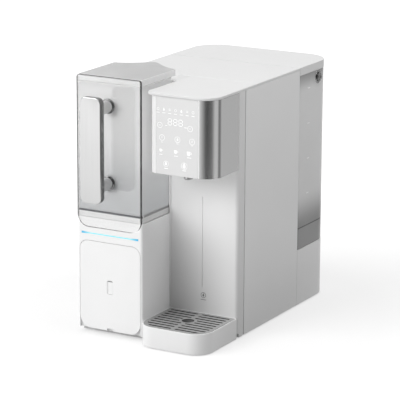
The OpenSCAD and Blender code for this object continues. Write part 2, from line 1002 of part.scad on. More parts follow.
module tank_bay_wall() {
    x0 = left_x + wall + seam;
    x1 = right_x - wall - seam;
    y0 = tank_y - seam - wall;
    y1 = tank_y - seam;
    split = cable_z + cable_h;
    color("lightgray") placed() {
        difference() {
            box(x0, x1, y0, y1, split, cover_z);
            rod_y(0, lower_hose_z, y0 - cut, y1 + cut, hose_hole);
        }
        box(x0, supply_x[0], y0, y1, cab_z, split - seam);
        box(supply_x[0] + cable_w, x1, y0, y1, cab_z, split - seam);
    }
}

module tank_dock() {
    low = dock_z - wall - dock_stub_l;
    barb = dock_stub_d / 2;
    flange = dock_z + dock_flange_t;
    lip = dock_d / 2 + dock_lip;
    spigot = dock_spigot_d / 2;
    groove = flange + dock_seal_rise;
    floor_z = dock_top - dock_mouth_deep;
    step = 2;
    lead = 1;
    color("lightgray") placed()
        translate([0, dock_y, 0])
            rotate_extrude()
                polygon([
                    [0, low], [barb, low], [1.15 * barb, low + dock_stub_l / 2],
                    [dock_d / 2, dock_z - wall - step], [dock_d / 2, dock_z], [lip, dock_z],
                    [lip, flange], [spigot, flange],
                    [spigot, groove], [0.8 * spigot, groove], [0.8 * spigot, groove + ring_d],
                    [spigot, groove + ring_d], [spigot, dock_top - lead], [spigot - lead, dock_top],
                    [dock_mouth_d / 2, dock_top], [dock_mouth_d / 2, floor_z], [dock_pin_d / 2, floor_z],
                    [dock_pin_d / 2, dock_top], [0, dock_top]
                ]);
}

module tank_dock_seal() {
    z = dock_z + dock_flange_t + dock_seal_rise + ring_d / 2;
    color("dimgray") placed()
        translate([0, dock_y, z])
            rotate_extrude()
                translate([dock_spigot_d / 2 - 0.1, 0]) circle(d = ring_d - 0.4);
}

module jug_dock() {
    tip = jug_d + 1.5;
    flange = bay_d - spigot_flange_t;
    groove = jug_d + 4;
    color("lightgray") placed()
        translate([cab_mid, bay_d, valve_z])
            rotate([90, 0, 0])
                rotate_extrude()
                    polygon([
                        [0, -wall - 14], [3.4, -wall - 14], [4.2, -wall - 4], [spigot_d / 2, -wall - 2],
                        [spigot_d / 2, 0], [spigot_flange_d / 2, 0], [spigot_flange_d / 2, bay_d - flange],
                        [spigot_d / 2, bay_d - flange], [spigot_d / 2, bay_d - groove - ring_d],
                        [spigot_d / 2 - 1.3, bay_d - groove - ring_d], [spigot_d / 2 - 1.3, bay_d - groove],
                        [spigot_d / 2, bay_d - groove], [spigot_d / 2, bay_d - tip - 1],
                        [spigot_d / 2 - 1, bay_d - tip], [3.6, bay_d - tip], [3.6, bay_d - tip - 5],
                        [1.6, bay_d - tip - 5], [1.6, bay_d - tip], [0, bay_d - tip]
                    ]);
}

module jug_dock_seal() {
    y = jug_d + 4 + ring_d / 2;
    color("dimgray") placed()
        translate([cab_mid, y, valve_z])
            rotate([90, 0, 0])
                rotate_extrude()
                    translate([spigot_d / 2 - 0.1, 0]) circle(d = ring_d - 0.4);
}

// Filters and water works

module cartridge(z) {
    translate([cab_mid, cart_y, z])
        rotate([-90, 0, 0]) {
            rotate_extrude()
                polygon([
                    [0, 0], [cart_d / 2 - 3, 0], [cart_d / 2 - 1, 2], [cart_d / 2 - 1, 14], [cart_d / 2, 16],
                    [cart_d / 2, barrel_l - 8], [cart_d / 2 - 8, barrel_l], [neck_d / 2, barrel_l],
                    [neck_d / 2, barrel_l + 8], [neck_d / 2 - 1.6, barrel_l + 8],
                    [neck_d / 2 - 1.6, barrel_l + 8 + ring_d], [neck_d / 2, barrel_l + 8 + ring_d],
                    [neck_d / 2, barrel_l + neck_l - 1], [neck_d / 2 - 1, barrel_l + neck_l],
                    [6, barrel_l + neck_l],
                    [6, barrel_l + neck_l - 10], [0, barrel_l + neck_l - 10]
                ]);
            translate([grip_in - cart_d / 2, -grip_w / 2, -grip_h])
                cube([cart_d - 2 * grip_in, grip_w, grip_h + 0.5]);
        }
}

module cartridge_seal(z) {
    translate([cab_mid, cart_y + barrel_l + 8 + ring_d / 2, z])
        rotate([90, 0, 0])
            rotate_extrude()
                translate([neck_d / 2 - 0.3, 0]) circle(d = ring_d - 0.4);
}

module composite_filter() {
    color("whitesmoke") placed() cartridge(cart_axes[1]);
}

module composite_seals() {
    color("dimgray") placed() cartridge_seal(cart_axes[1]);
}

module membrane_filter() {
    color("lightsteelblue") placed() cartridge(cart_axes[0]);
}

module membrane_seals() {
    color("dimgray") placed() cartridge_seal(cart_axes[0]);
}

module filter_manifold() {
    y1 = head_block_y + head_block_l;
    color("whitesmoke") placed()
        difference() {
            union() {
                plate_y(head_block_y, y1)
                    round_plan(cab_mid - head_block_w / 2, cab_mid + head_block_w / 2, cab_z, head_block_top,
                        0, 0, 10, 10);
                for (x = [-22, 0, 22])
                    rod_z(cab_mid + x, port_y, head_block_top - 1, head_block_top + port_l, port_d);
            }
            for (z = cart_axes)
                rod_y(cab_mid, z, head_block_y - cut, cart_back + neck_l + 1, neck_d + 3);
            for (p = manifold_screws)
                screw_hole(p, cab_z - cut, cab_z + screw_bite + 1);
        }
}

module pump_motor() {
    color("dimgray") placed() {
        rod_y(pump_x, pump_z, motor_y, motor_y + motor_l, motor_d);
        rod_y(pump_x, pump_z, motor_y - 6, motor_y + 1, 18);
        for (side = [-1, 1])
            box(pump_x + side * 14 - 1, pump_x + side * 14 + 1, motor_y - 6, motor_y + 1,
                pump_z - 4, pump_z + 4);
    }
}

module pump_head() {
    y0 = motor_y + motor_l;
    half = pump_head_w / 2;
    color("silver") placed()
        difference() {
            union() {
                plate_y(y0, y0 + pump_head_l)
                    round_plan(pump_x - half, pump_x + half, pump_z - half, pump_z + half, 9, 9, 9, 9);
                rod_z(pump_x, y0 + 30, pump_z + half - 1, pump_z + half + port_l, port_d);
                plate_x(pump_x - half - port_l, pump_x - half + 1)
                    translate([y0 + 30, pump_z]) circle(d = port_d);
            }
            for (sx = [-1, 1], sz = [-1, 1])
                rod_y(pump_x + sx * (half - 8), pump_z + sz * (half - 8), y0 + pump_head_l - 4,
                    y0 + pump_head_l + cut, 7);
        }
}

module pump_bracket() {
    z0 = cab_z + mount_h;
    half = bracket_w / 2;
    color("silver") placed()
        difference() {
            union() {
                slab(z0, z0 + bracket_t)
                    round_plan(pump_x - half, pump_x + half, motor_y, motor_y + bracket_l, 8, 8, 8, 8);
                for (y = [motor_y + saddle_t, motor_y + motor_l - 2 * saddle_t])
                    box(pump_x - saddle_half, pump_x + saddle_half, y, y + saddle_t, z0, pump_z - saddle_drop);
            }
            rod_y(pump_x, pump_z, motor_y - cut, motor_y + motor_l, motor_d + 2 * seam);
            box(pump_x - pump_head_w, pump_x + pump_head_w, motor_y + motor_l - seam, motor_y + bracket_l + cut,
                pump_z - pump_head_w / 2 - seam, pump_z);
            for (p = mount_places)
                screw_hole(p, z0 - cut, z0 + bracket_t + cut);
        }
}

module pump_mounts() {
    color("dimgray") placed()
        for (p = mount_places)
            difference() {
                rod_z(p[0], p[1], cab_z, cab_z + mount_h, mount_d);
                screw_hole(p, cab_z - cut, cab_z + mount_h + cut);
            }
}

module heater() {
    wall_y = niche_d + frame_wall + seam;
    stub = heater_stub_d / 2;
    can = heater_d / 2;
    rim = can + heater_rim;
    shoulder = heater_stub_l + heater_cap;
    color("silver") placed() {
        translate([niche_mid, heater_y, heater_z[0]])
            rotate_extrude()
                polygon([
                    [0, 0], [stub, 0], [stub, heater_stub_l], [rim, heater_stub_l],
                    [rim, shoulder], [can, shoulder],
                    [can, heater_h - shoulder], [rim, heater_h - shoulder], [rim, heater_h - heater_stub_l],
                    [stub, heater_h - heater_stub_l], [stub, heater_h], [0, heater_h]
                ]);
        for (z = [heater_z[0] + strap_in, heater_z[1] - strap_in - strap_h])
            box(niche_mid - strap_w / 2, niche_mid + strap_w / 2, wall_y, heater_y, z, z + strap_h);
        box(niche_mid - back_plate_w / 2, niche_mid + back_plate_w / 2, wall_y, wall_y + back_plate_t,
            heater_z[0] + shoulder, heater_z[1] - shoulder);
    }
}

module solenoid_valves() {
    back = tank_y - seam - wall - seam;
    port_z = valve_row_z + rail_t;
    mid = back - valve_deep / 2;
    top = valve_row_z + valve_high;
    color("dimgray") placed() {
        box(valve_x[0] - rail_side, valve_x[1] + rail_side, back - rail_t, back, valve_row_z - valve_high,
            top + valve_low);
        for (x = valve_x) {
            box(x - valve_half, x + valve_half, back - valve_deep, back - rail_t / 2,
                valve_row_z - valve_low, top);
            rod_z(x, mid, top - rail_t / 2, top + winding_h, winding_d);
            plate_x(x - valve_reach, x + valve_reach) translate([mid, port_z]) circle(d = port_d);
        }
    }
}

module power_board() {
    floor_z = foot_h + wall;
    z = floor_z + standoff_h;
    x0 = supply_x[0];
    x1 = supply_x[1];
    y0 = supply_y[0];
    y1 = supply_y[1];
    color("seagreen") placed() {
        box(x0, x1, y0, y1, z, z + board_t);
        for (x = [x0 + standoff_in, x1 - standoff_in], y = [y0 + standoff_in, y1 - standoff_in])
            rod_z(x, y, floor_z, z + board_t / 2, standoff_d);
        translate([x0 + part_in, y0 + part_in, z]) cube(coil);
        rod_z(x1 - part_in - capacitor_d / 2, y0 + part_in + capacitor_d / 2, z, z + capacitor_h, capacitor_d);
        translate([x1 - part_in - heat_sink[0], y1 - part_in - heat_sink[1], z]) cube(heat_sink);
    }
}

module inlet_plan(inset) {
    half_w = inlet_w / 2 - inset;
    half_h = inlet_h / 2 - inset;
    r = inset > 0 ? 2 : 3;
    round_plan(inlet_x - half_w, inlet_x + half_w, inlet_z - half_h, inlet_z + half_h, r, r, r, r);
}

module power_inlet() {
    deep = 22;
    color("dimgray") placed() {
        difference() {
            union() {
                plate_y(body_d, body_d + inlet_face) inlet_plan(0);
                plate_y(body_d - deep, body_d + 0.5) inlet_plan(2 + seam);
            }
            plate_y(body_d - deep + 3, body_d + inlet_face + cut) inlet_plan(4);
        }
        for (p = [[-7, -2], [0, 2], [7, -2]])
            box(inlet_x + p[0] - 1, inlet_x + p[0] + 1, body_d - deep + 2, body_d - 5,
                inlet_z + p[1] - 2, inlet_z + p[1] + 2);
    }
}

module water_lines() {
    gap = 0.3;
    port_top = head_block_top + port_l + gap;
    pump_y = motor_y + motor_l + 30;
    pump_top = pump_z + pump_head_w / 2 + port_l + gap;
    pump_side = pump_x - pump_head_w / 2 - port_l - gap;
    cross_z = head_block_top + 22;
    dock_low = dock_z - wall - dock_stub_l - gap;
    heat_low = heater_z[0] - gap;
    heat_top = heater_z[1] + gap;
    spigot_back = bay_back + 14 + gap;
    nozzle_top = head_z + wall + 22 + gap;
    color("lightcyan") placed() {
        hose_run([[0, dock_y, dock_low], [0, dock_y, lower_hose_z], [0, pump_y, lower_hose_z],
            [0, pump_y, pump_z], [pump_side, pump_y, pump_z]]);
        hose_run([[pump_x, pump_y, pump_top], [pump_x, pump_y, cross_z], [pump_x, port_y, cross_z],
            [cab_mid + 22, port_y, cross_z], [cab_mid + 22, port_y, port_top]]);
        hose_run([[cab_mid - 22, port_y, port_top], [cab_mid - 22, port_y, valve_z],
            [cab_mid, port_y, valve_z], [cab_mid, spigot_back, valve_z]]);
        hose_run([[cab_mid, port_y, port_top], [cab_mid, port_y, cross_z + 14],
            [niche_mid, port_y, cross_z + 14], [niche_mid, heater_y, cross_z + 14],
            [niche_mid, heater_y, heat_low]]);
        hose_run([[niche_mid, heater_y, heat_top], [niche_mid, heater_y, hose_z],
            [niche_mid, nozzle_y, hose_z], [niche_mid, nozzle_y, nozzle_top]]);
    }
}

// Drip tray

module drip_tray() {
    seat = tray_h - grille_t - 0.3;
    color("white") placed()
        difference() {
            slab(tray_low, tray_h) tray_plan(0);
            slab(tray_floor + tray_floor_t, tray_h) tray_plan(tray_wall);
            slab(seat, tray_h + cut) tray_plan(tray_rim);
            slab(tray_low - cut, tray_floor)
                round_plan(tray_x0 + tongue_in - 1, right_x - tongue_in + 1, tongue_in - tray_front - 1,
                    niche_d + cut, tray_r - tongue_in + 1, tray_r - tongue_in + 1, 0, 0);
        }
}

module slot(x0, x1, y) {
    r = slot_w / 2;
    translate([x0 + r, y - r]) square([x1 - x0 - slot_w, slot_w]);
    translate([x0 + r, y]) circle(r);
    translate([x1 - r, y]) circle(r);
}

module drip_grille() {
    edge = tray_rim + grille_gap;
    x0 = tray_x0 + edge + slot_end;
    x1 = right_x - edge - slot_end;
    z0 = tray_h - grille_t;
    color("darkgray") placed() {
        difference() {
            slab(z0, tray_h) tray_plan(edge);
            slab(z0 - cut, tray_h + cut)
                intersection() {
                    difference() {
                        for (row = [0 : slot_rows - 1]) {
                            y = slot_first - row * slot_pitch;
                            slot(x0, niche_mid - mid_bar / 2, y);
                            slot(niche_mid + mid_bar / 2, x1, y);
                        }
                        translate([niche_mid, nozzle_y]) circle(dish_r + dish_ring);
                    }
                    tray_plan(edge + slot_end);
                }
            rod_z(niche_mid, nozzle_y, z0 - cut, tray_h + cut, 2 * dish_r);
        }
        translate([niche_mid, nozzle_y, 0])
            rotate_extrude()
                polygon([
                    [0, z0 - dish_deep], [dish_r + dish_wall, z0 - dish_deep], [dish_r + dish_wall, z0 + 0.5],
                    [dish_r, z0 + 0.5], [dish_r, z0 - dish_deep + 3], [dish_r - 3, z0 - dish_deep + dish_wall],
                    [0, z0 - dish_deep + dish_wall]
                ]);
    }
}

// Jug

module jug_body() {
    color("lightblue", 0.5) placed()
        difference() {
            jug_solid(0, jug_z + 0.2, jug_rim);
            jug_solid(jug_wall, jug_z + 0.2 + jug_wall, jug_rim + cut);
            rod_y(cab_mid, valve_z, jug_d - 2 * jug_wall, jug_d + cut, valve_d + 0.4);
        }
}

module jug_face() {
    color("lightblue", 0.5) placed()
        plate_y(-face_proud, face_back) face_plan(0);
}

module jug_foot() {
    rim = 3;
    color("gainsboro") placed()
        difference() {
            slab(jug_foot_z, jug_z) jug_plan(0);
            slab(jug_foot_z - cut, jug_z - rim) jug_plan(rim);
        }
}

module jug_handle() {
    y0 = handle_front;
    color("silver") placed()
        plate_y(y0, y0 + bar_t)
            round_plan(cab_mid - bar_w / 2, cab_mid + bar_w / 2, bar_z - bar_l / 2, bar_z + bar_l / 2,
                bar_r, bar_r, bar_r, bar_r);
}

module handle_posts() {
    color("silver") placed()
        for (side = [-1, 1])
            rod_y(cab_mid, bar_z + side * post_pitch / 2, handle_front + bar_t, -face_proud, post_d);
}

module jug_valve() {
    front = jug_d - jug_wall - 6;
    color("gray") placed()
        difference() {
            union() {
                rod_y(cab_mid, valve_z, front, front + valve_l, valve_d);
                rod_y(cab_mid, valve_z, jug_d + 0.2, jug_d + 0.2 + valve_flange_t, valve_flange_d);
            }
            rod_y(cab_mid, valve_z, jug_d - 2, front + valve_l + cut, valve_bore + 1.6);
            rod_y(cab_mid, valve_z, front - cut, jug_d, valve_seat_d);
            rod_y(cab_mid, valve_z, front - cut, jug_d - jug_wall - 2, valve_d - 4);
        }
}

module jug_poppet() {
    seat = jug_d - jug_wall - 2;
    color("dimgray") placed() {
        rod_y(cab_mid, valve_z, seat - 0.3 - poppet_t, seat - 0.3, valve_d - 4 - 2 * poppet_gap);
        rod_y(cab_mid, valve_z, seat - 1, jug_d + 1.5 - 0.4, poppet_stem_d);
    }
}

module jug_lid() {
    z0 = jug_rim + jug_gap;
    plate = 3;
    color("lightgray", 0.6) placed()
        difference() {
            union() {
                slab(z0, jug_top) lid_plan(0);
                slab(z0 - plug_h, z0 + 0.5) jug_plan(jug_wall + plug_gap);
            }
            slab(z0 - plug_h - cut, jug_top - plate) jug_plan(jug_wall + plug_gap + 2.4);
        }
}

module jug_lid_seal() {
    z1 = jug_rim + jug_gap - 0.2;
    color("whitesmoke") placed()
        slab(z1 - 3, z1)
            difference() {
                jug_plan(jug_wall + 0.4);
                jug_plan(jug_wall + plug_gap - 0.2);
            }
}

// Raw tank

// Plan of the tank; the wall stands out further than the rim that the lid goes over.
module tank_plan(inset, out = 0) {
    side = tank_in - out + inset;
    r = tank_r + out - inset;
    round_plan(left_x + side, right_x - side, tank_y + tank_front_gap + inset, body_d - side,
        tank_front_r, tank_front_r, r, r);
}

module raw_tank() {
    wall_x = right_x - tank_flush;
    pocket_x = right_x - tank_in;
    pocket_d = knob_d + 2 * pocket_gap;
    color("lightgray", 0.7) placed() {
        difference() {
            union() {
                difference() {
                    union() {
                        slab(tank_z, tank_shoulder) tank_plan(0, tank_out);
                        slab(tank_shoulder - 0.5, tank_rim) tank_plan(0);
                    }
                    slab(tank_z + tank_floor_t, tank_shoulder - tank_wall) tank_plan(tank_wall, tank_out);
                    slab(tank_shoulder - tank_wall - cut, tank_rim + cut) tank_plan(tank_wall);
                }
                plate_x(pocket_x - tank_wall, wall_x - tank_wall / 2)
                    translate([knob_axis_y, knob_axis_z]) circle(d = pocket_d + 2 * pocket_wall);
            }
            rod_z(0, dock_y, tank_z - cut, tank_z + tank_floor_t + cut, 22);
            plate_x(pocket_x, wall_x + 1) translate([knob_axis_y, knob_axis_z]) circle(d = pocket_d);
            plate_x(pocket_x - tank_wall - cut, pocket_x + cut)
                translate([knob_axis_y, knob_axis_z]) circle(d = spindle_d + 2 * spindle_gap);
        }
        for (i = [0 : 3], side = [-1, 1])
            box(side * wall_x - mark_proud, side * wall_x + mark_proud,
                mark_y - mark_w / 2, mark_y + mark_w / 2,
                mark_low + i * mark_pitch, mark_low + i * mark_pitch + mark_h);
    }
}

module tank_base() {
    seat = tank_foot_z + 22;
    color("gray") placed()
        difference() {
            slab(tank_foot_z, tank_z) tank_plan(0, tank_out);
            slab(tank_foot_z - cut, tank_z - 4)
                difference() {
                    tank_plan(4, tank_out);
                    translate([0, dock_y]) circle(dock_d / 2 + 12);
                }
            rod_z(0, dock_y, tank_foot_z - cut, tank_foot_z + dock_flange_t + 1, dock_d + 2 * dock_lip + 1);
            rod_z(0, dock_y, tank_foot_z - cut, seat - 3, socket_d + 1.4);
            rod_z(0, dock_y, seat - 4, seat + 1, 9);
            rod_z(0, dock_y, seat, tank_z + cut, 20);
        }
}

module tank_poppet() {
    seat = tank_foot_z + 22;
    color("dimgray") placed() {
        rod_z(0, dock_y, seat + 0.3, seat + 0.3 + poppet_t, 20 - 2 * poppet_gap);
        rod_z(0, dock_y, dock_top + 0.3, seat + 1, 6);
    }
}

module tank_strainer() {
    z0 = tank_z + tank_floor_t;
    bars = 12;
    color("whitesmoke") placed()
        translate([0, dock_y, z0])
            difference() {
                cylinder(d = strainer_d, h = strainer_h);
                translate([0, 0, -cut]) cylinder(d = strainer_d - 4, h = strainer_h - 1);
                for (i = [0 : bars / 2 - 1])
                    rotate(i * 360 / bars)
                        translate([-strainer_d, -2, 3]) cube([2 * strainer_d, 4, strainer_h - 7]);
            }
}

module tank_knob() {
    x0 = right_x - tank_in + knob_stand;
    inner = right_x - tank_in - tank_wall - knob_stand;
    color("dimgray") placed()
        translate([0, knob_axis_y, knob_axis_z]) {
            difference() {
                plate_x(x0, x0 + knob_t) circle(d = knob_d);
                plate_x(x0 + knob_t - 1.6, x0 + knob_t + cut)
                    difference() {
                        circle(d = knob_d - 3);
                        rotate(45) translate([-knob_d, -2]) square([2 * knob_d, 4]);
                    }
            }
            plate_x(inner - cam_t, x0 + 0.5) circle(d = spindle_d);
            plate_x(inner - cam_t, inner) translate([-cam_w / 2, -cam_w / 2]) square([cam_l, cam_w]);
        }
}

module tank_lid() {
    color("white") placed()
        difference() {
            slab(tank_lid_z, body_h) rear_plan(0, 0.2);
            slab(tank_lid_z - cut, body_h - lid_plate) tank_plan(-0.6);
        }
}

base_pan();
rubber_feet();
case_screws();
cabinet_shell();
light_bar();
left_side_panel();
right_side_panel();
front_frame();
bay_wall();
head_shell();
head_trim();
touch_panel();
display_board();
head_cover();
top_cover();
outlet_nozzle();
nozzle_collar();
rear_base();
tank_bay_wall();
tank_dock();
tank_dock_seal();
jug_dock();
jug_dock_seal();
filter_cradle();
filter_manifold();
door_catches();
pump_motor();
pump_head();
pump_bracket();
pump_mounts();
heater();
solenoid_valves();
power_board();
power_inlet();
water_lines();
filter_door();
latch_button();
composite_filter();
composite_seals();
membrane_filter();
membrane_seals();
drip_tray();
drip_grille();
jug_body();
jug_face();
jug_foot();
jug_handle();
handle_posts();
jug_valve();
jug_poppet();
jug_lid();
jug_lid_seal();
raw_tank();
tank_base();
tank_strainer();
tank_poppet();
tank_knob();
tank_lid();
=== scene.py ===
"""Looks of the countertop water purifier: finishes for its moulded, clear and metal pieces, the
handle, jug lid, panel marks and small fittings modelled over the frame, and a studio to show it."""

import math

import bpy
from mathutils import Matrix, Vector


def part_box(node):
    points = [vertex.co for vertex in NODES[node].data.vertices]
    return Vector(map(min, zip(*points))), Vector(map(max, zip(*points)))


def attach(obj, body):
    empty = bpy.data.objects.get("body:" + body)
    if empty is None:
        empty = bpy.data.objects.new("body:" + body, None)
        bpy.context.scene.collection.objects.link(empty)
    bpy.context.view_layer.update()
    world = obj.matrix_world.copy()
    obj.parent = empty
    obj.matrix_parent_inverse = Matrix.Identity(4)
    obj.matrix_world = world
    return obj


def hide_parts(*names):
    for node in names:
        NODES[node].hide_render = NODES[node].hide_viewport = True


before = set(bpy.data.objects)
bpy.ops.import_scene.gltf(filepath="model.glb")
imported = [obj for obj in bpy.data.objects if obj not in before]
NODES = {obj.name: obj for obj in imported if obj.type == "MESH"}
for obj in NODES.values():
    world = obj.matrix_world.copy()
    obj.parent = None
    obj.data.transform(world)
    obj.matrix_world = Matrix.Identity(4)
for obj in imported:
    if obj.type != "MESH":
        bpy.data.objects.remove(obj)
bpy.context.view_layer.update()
MM = 0.001

# Depth, in the drawing's millimetres, of the frame's origin
MIDDLE_Y = 180.85

# How close a point lies to the place that it is chosen by, and how straight an edge or a face
# points along the axis that it is chosen by
NEAR = 0.01 * MM
STRAIGHT = 0.9

# Turns of a round piece whose axis starts upright
STANDING = (0, 0, 0)
FACING_FRONT = (math.pi / 2, 0, 0)
FACING_SIDE = (0, math.pi / 2, 0)


def place(x, y, z):
    """A point of the drawing, in millimetres with depths from the cabinet front, in the frame."""
    return Vector((x * MM, (y - MIDDLE_Y) * MM, z * MM))


# Camera

CAMERA_SPOT = (1.7080, -3.04575, 1.0876)
CAMERA_YAW = math.radians(29.30)
CAMERA_PITCH = math.radians(14.41)
CAMERA_ROLL = math.radians(0.29)
CAMERA_LENS = 201.1


def set_camera():
    bpy.ops.object.camera_add()
    camera = bpy.context.object
    camera.name = "camera"
    camera.data.sensor_width = 36.0
    camera.data.lens = CAMERA_LENS
    camera.data.clip_start = 0.1
    camera.data.clip_end = 30.0
    camera.matrix_world = (
        Matrix.Translation(CAMERA_SPOT)
        @ Matrix.Rotation(CAMERA_YAW, 4, "Z")
        @ Matrix.Rotation(math.pi / 2 - CAMERA_PITCH, 4, "X")
        @ Matrix.Rotation(CAMERA_ROLL, 4, "Z")
    )
    bpy.context.scene.camera = camera


# Modelling helpers


def nothing_selected():
    """Leaves edit mode and lets go of everything."""
    if bpy.context.object and bpy.context.object.mode != "OBJECT":
        bpy.ops.object.mode_set(mode="OBJECT")
    bpy.ops.object.select_all(action="DESELECT")


def hold(piece):
    """Selects one piece and makes it the active one."""
    nothing_selected()
    piece.select_set(True)
    bpy.context.view_layer.objects.active = piece


def settle(piece):
    """Puts the piece's place, turn and size into its mesh."""
    hold(piece)
    bpy.ops.object.transform_apply(location=True, rotation=True, scale=True)


def start_block(name, low, high):
    nothing_selected()
    low, high = Vector(low), Vector(high)
    bpy.ops.mesh.primitive_cube_add(size=1, location=(low + high) / 2)
    piece = bpy.context.object
    piece.name = name
    piece.scale = high - low
    settle(piece)
    return piece


def start_disc(name, centre, radius, deep, sides, turn=FACING_FRONT, ends="NGON"):
    nothing_selected()
    bpy.ops.mesh.primitive_cylinder_add(
        vertices=sides,
        radius=radius,
        depth=deep,
        end_fill_type=ends,
        location=centre,
        rotation=turn,
    )
    piece = bpy.context.object
    piece.name = name
    settle(piece)
    return piece


def start_tube(name, centre, radius, deep, wall, sides, turn=FACING_FRONT):
    """An open cylinder that is given its wall on the inside."""
    piece = start_disc(name, centre, radius, deep, sides, turn, "NOTHING")
    finish_with(piece, "SOLIDIFY", thickness=wall, offset=-1.0)
    return piece


def select_by(piece, kind):
    """Puts the piece in one select mode with nothing selected, so that the next choice is taken
    as it is."""
    hold(piece)
    bpy.ops.object.mode_set(mode="EDIT")
    bpy.ops.mesh.select_mode(type=kind)
    bpy.ops.mesh.select_all(action="DESELECT")
    bpy.ops.object.mode_set(mode="OBJECT")
    return piece.data


def choose_faces(piece, wanted):
    """Opens the piece for editing, with the faces chosen by their centre and normal."""
    for face in select_by(piece, "FACE").polygons:
        face.select = wanted(face.center, face.normal)
    bpy.ops.object.mode_set(mode="EDIT")


def choose_edges(piece, wanted):
    """Opens the piece for editing, with the edges chosen by their middle and course."""
    mesh = select_by(piece, "EDGE")
    for edge in mesh.edges:
        a, b = (mesh.vertices[i].co for i in edge.vertices)
        edge.select = wanted((a + b) / 2, (b - a).normalized())
    bpy.ops.object.mode_set(mode="EDIT")


def choose_points(piece, wanted):
    """Opens the piece for editing, with the points chosen by their place."""
    for point in select_by(piece, "VERT").vertices:
        point.select = wanted(point.co)
    bpy.ops.object.mode_set(mode="EDIT")


def shaped():
    """Ends a step of editing."""
    bpy.ops.object.mode_set(mode="OBJECT")


def bevel_chosen(width, segments):
    bpy.ops.mesh.bevel(offset=width, segments=segments, affect="EDGES")
    shaped()


def move_chosen(x, y, z):
    bpy.ops.transform.translate(value=(x, y, z))
    shaped()


def finish_with(piece, kind, **settings):
    """Puts one modifier on the piece and applies it."""
    hold(piece)
    modifier = piece.modifiers.new(kind.title(), kind)
    for key, value in settings.items():
        setattr(modifier, key, value)
    bpy.ops.object.modifier_apply(modifier=modifier.name)


def round_edges(piece, width, angle=35):
    finish_with(
        piece,
        "BEVEL",
        width=width,
        segments=3,
        limit_method="ANGLE",
        angle_limit=math.radians(angle),
    )


def smooth(piece):
    hold(piece)
    bpy.ops.object.shade_smooth_by_angle(angle=math.radians(40))


def copy_of(piece, name, shift):
    copied = piece.copy()
    copied.data = piece.data.copy()
    copied.name = name
    bpy.context.collection.objects.link(copied)
    copied.location = Vector(shift)
    settle(copied)
    return copied


def join(name, pieces):
    nothing_selected()
    for piece in pieces:
        piece.select_set(True)
    bpy.context.view_layer.objects.active = pieces[0]
    bpy.ops.object.join()
    joined = bpy.context.object
    joined.name = name
    return joined


def fit(piece, body, slot, finish, *replaced):
    """Gives a finished piece its material and its body, and hides the nodes that it stands for; its
    slot is not used.
    """
    piece.data.materials.clear()
    piece.data.materials.append(FINISH[finish])
    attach(piece, body)
    if replaced:
        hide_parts(*replaced)


# Node helpers


def add(tree, kind, **settings):
    node = tree.nodes.new(kind)
    for key, value in settings.items():
        setattr(node, key, value)
    return node


def dial(node, **values):
    """Sets a node's own inputs by name, with underscores for spaces."""
    for key, value in values.items():
        node.inputs[key.replace("_", " ")].default_value = value
    return node


def wire(tree, source, output, target, socket):
    """Links one node's output to another node's input."""
    tree.links.new(source.outputs[output], target.inputs[socket])


def coordinate(tree, axis):
    """The piece's own coordinate along one axis."""
    where = add(tree, "ShaderNodeTexCoord")
    split = add(tree, "ShaderNodeSeparateXYZ")
    wire(tree, where, "Object", split, "Vector")
    return split.outputs[axis]


# Shared surface effects

# What each shared surface hands to a material
SURFACE = [
    ("Colour", "NodeSocketColor"),
    ("Roughness", "NodeSocketFloat"),
    ("Height", "NodeSocketFloat"),
]


def new_group(name, inputs):
    group = bpy.data.node_groups.new(name, "ShaderNodeTree")
    for label, kind, value in inputs:
        socket = group.interface.new_socket(label, in_out="INPUT", socket_type=kind)
        socket.default_value = value
    for label, kind in SURFACE:
        group.interface.new_socket(label, in_out="OUTPUT", socket_type=kind)
    return group, add(group, "NodeGroupInput"), add(group, "ShaderNodeTexCoord")


def hand_out(group, given, second, share, haze, height):
    """Mixes the given colour and the second one by share and the given glosses by haze."""
    out = add(group, "NodeGroupOutput")
    tint = add(group, "ShaderNodeMix", data_type="RGBA")
    gloss = dial(add(group, "ShaderNodeMapRange"), From_Min=0.3, From_Max=0.7)
    group.links.new(share, tint.inputs["Factor"])
    wire(group, given, "Colour", tint, "A")
    wire(group, given, second, tint, "B")
    group.links.new(haze, gloss.inputs["Value"])
    wire(group, given, "Gloss Low", gloss, "To Min")
    wire(group, given, "Gloss High", gloss, "To Max")
    wire(group, tint, "Result", out, "Colour")
    wire(group, gloss, "Result", out, "Roughness")
    group.links.new(height, out.inputs["Height"])
    return group


def moulded_surface():
    """Colour drift, gloss drift and the fine orange peel of a moulded or painted skin."""
    group, given, where = new_group(
        "moulded_surface",
        [
            ("Colour", "NodeSocketColor", (0.8, 0.8, 0.8, 1)),
            ("Shade", "NodeSocketColor", (0.7, 0.7, 0.7, 1)),
            ("Grain Scale", "NodeSocketFloat", 900.0),
            ("Gloss Low", "NodeSocketFloat", 0.25),
            ("Gloss High", "NodeSocketFloat", 0.35),
        ],
    )
    drift = dial(add(group, "ShaderNodeTexNoise"), Scale=9.0, Detail=3.0)
    soft = dial(add(group, "ShaderNodeMapRange"), From_Min=0.35, From_Max=0.75)
    peel = dial(add(group, "ShaderNodeTexNoise"), Detail=1.5)
    haze = dial(add(group, "ShaderNodeTexNoise"), Scale=38.0, Detail=4.0)
    for texture in (drift, peel, haze):
        wire(group, where, "Object", texture, "Vector")
    wire(group, given, "Grain Scale", peel, "Scale")
    wire(group, drift, "Fac", soft, "Value")
    share, height = soft.outputs["Result"], peel.outputs["Fac"]
    return hand_out(group, given, "Shade", share, haze.outputs["Fac"], height)


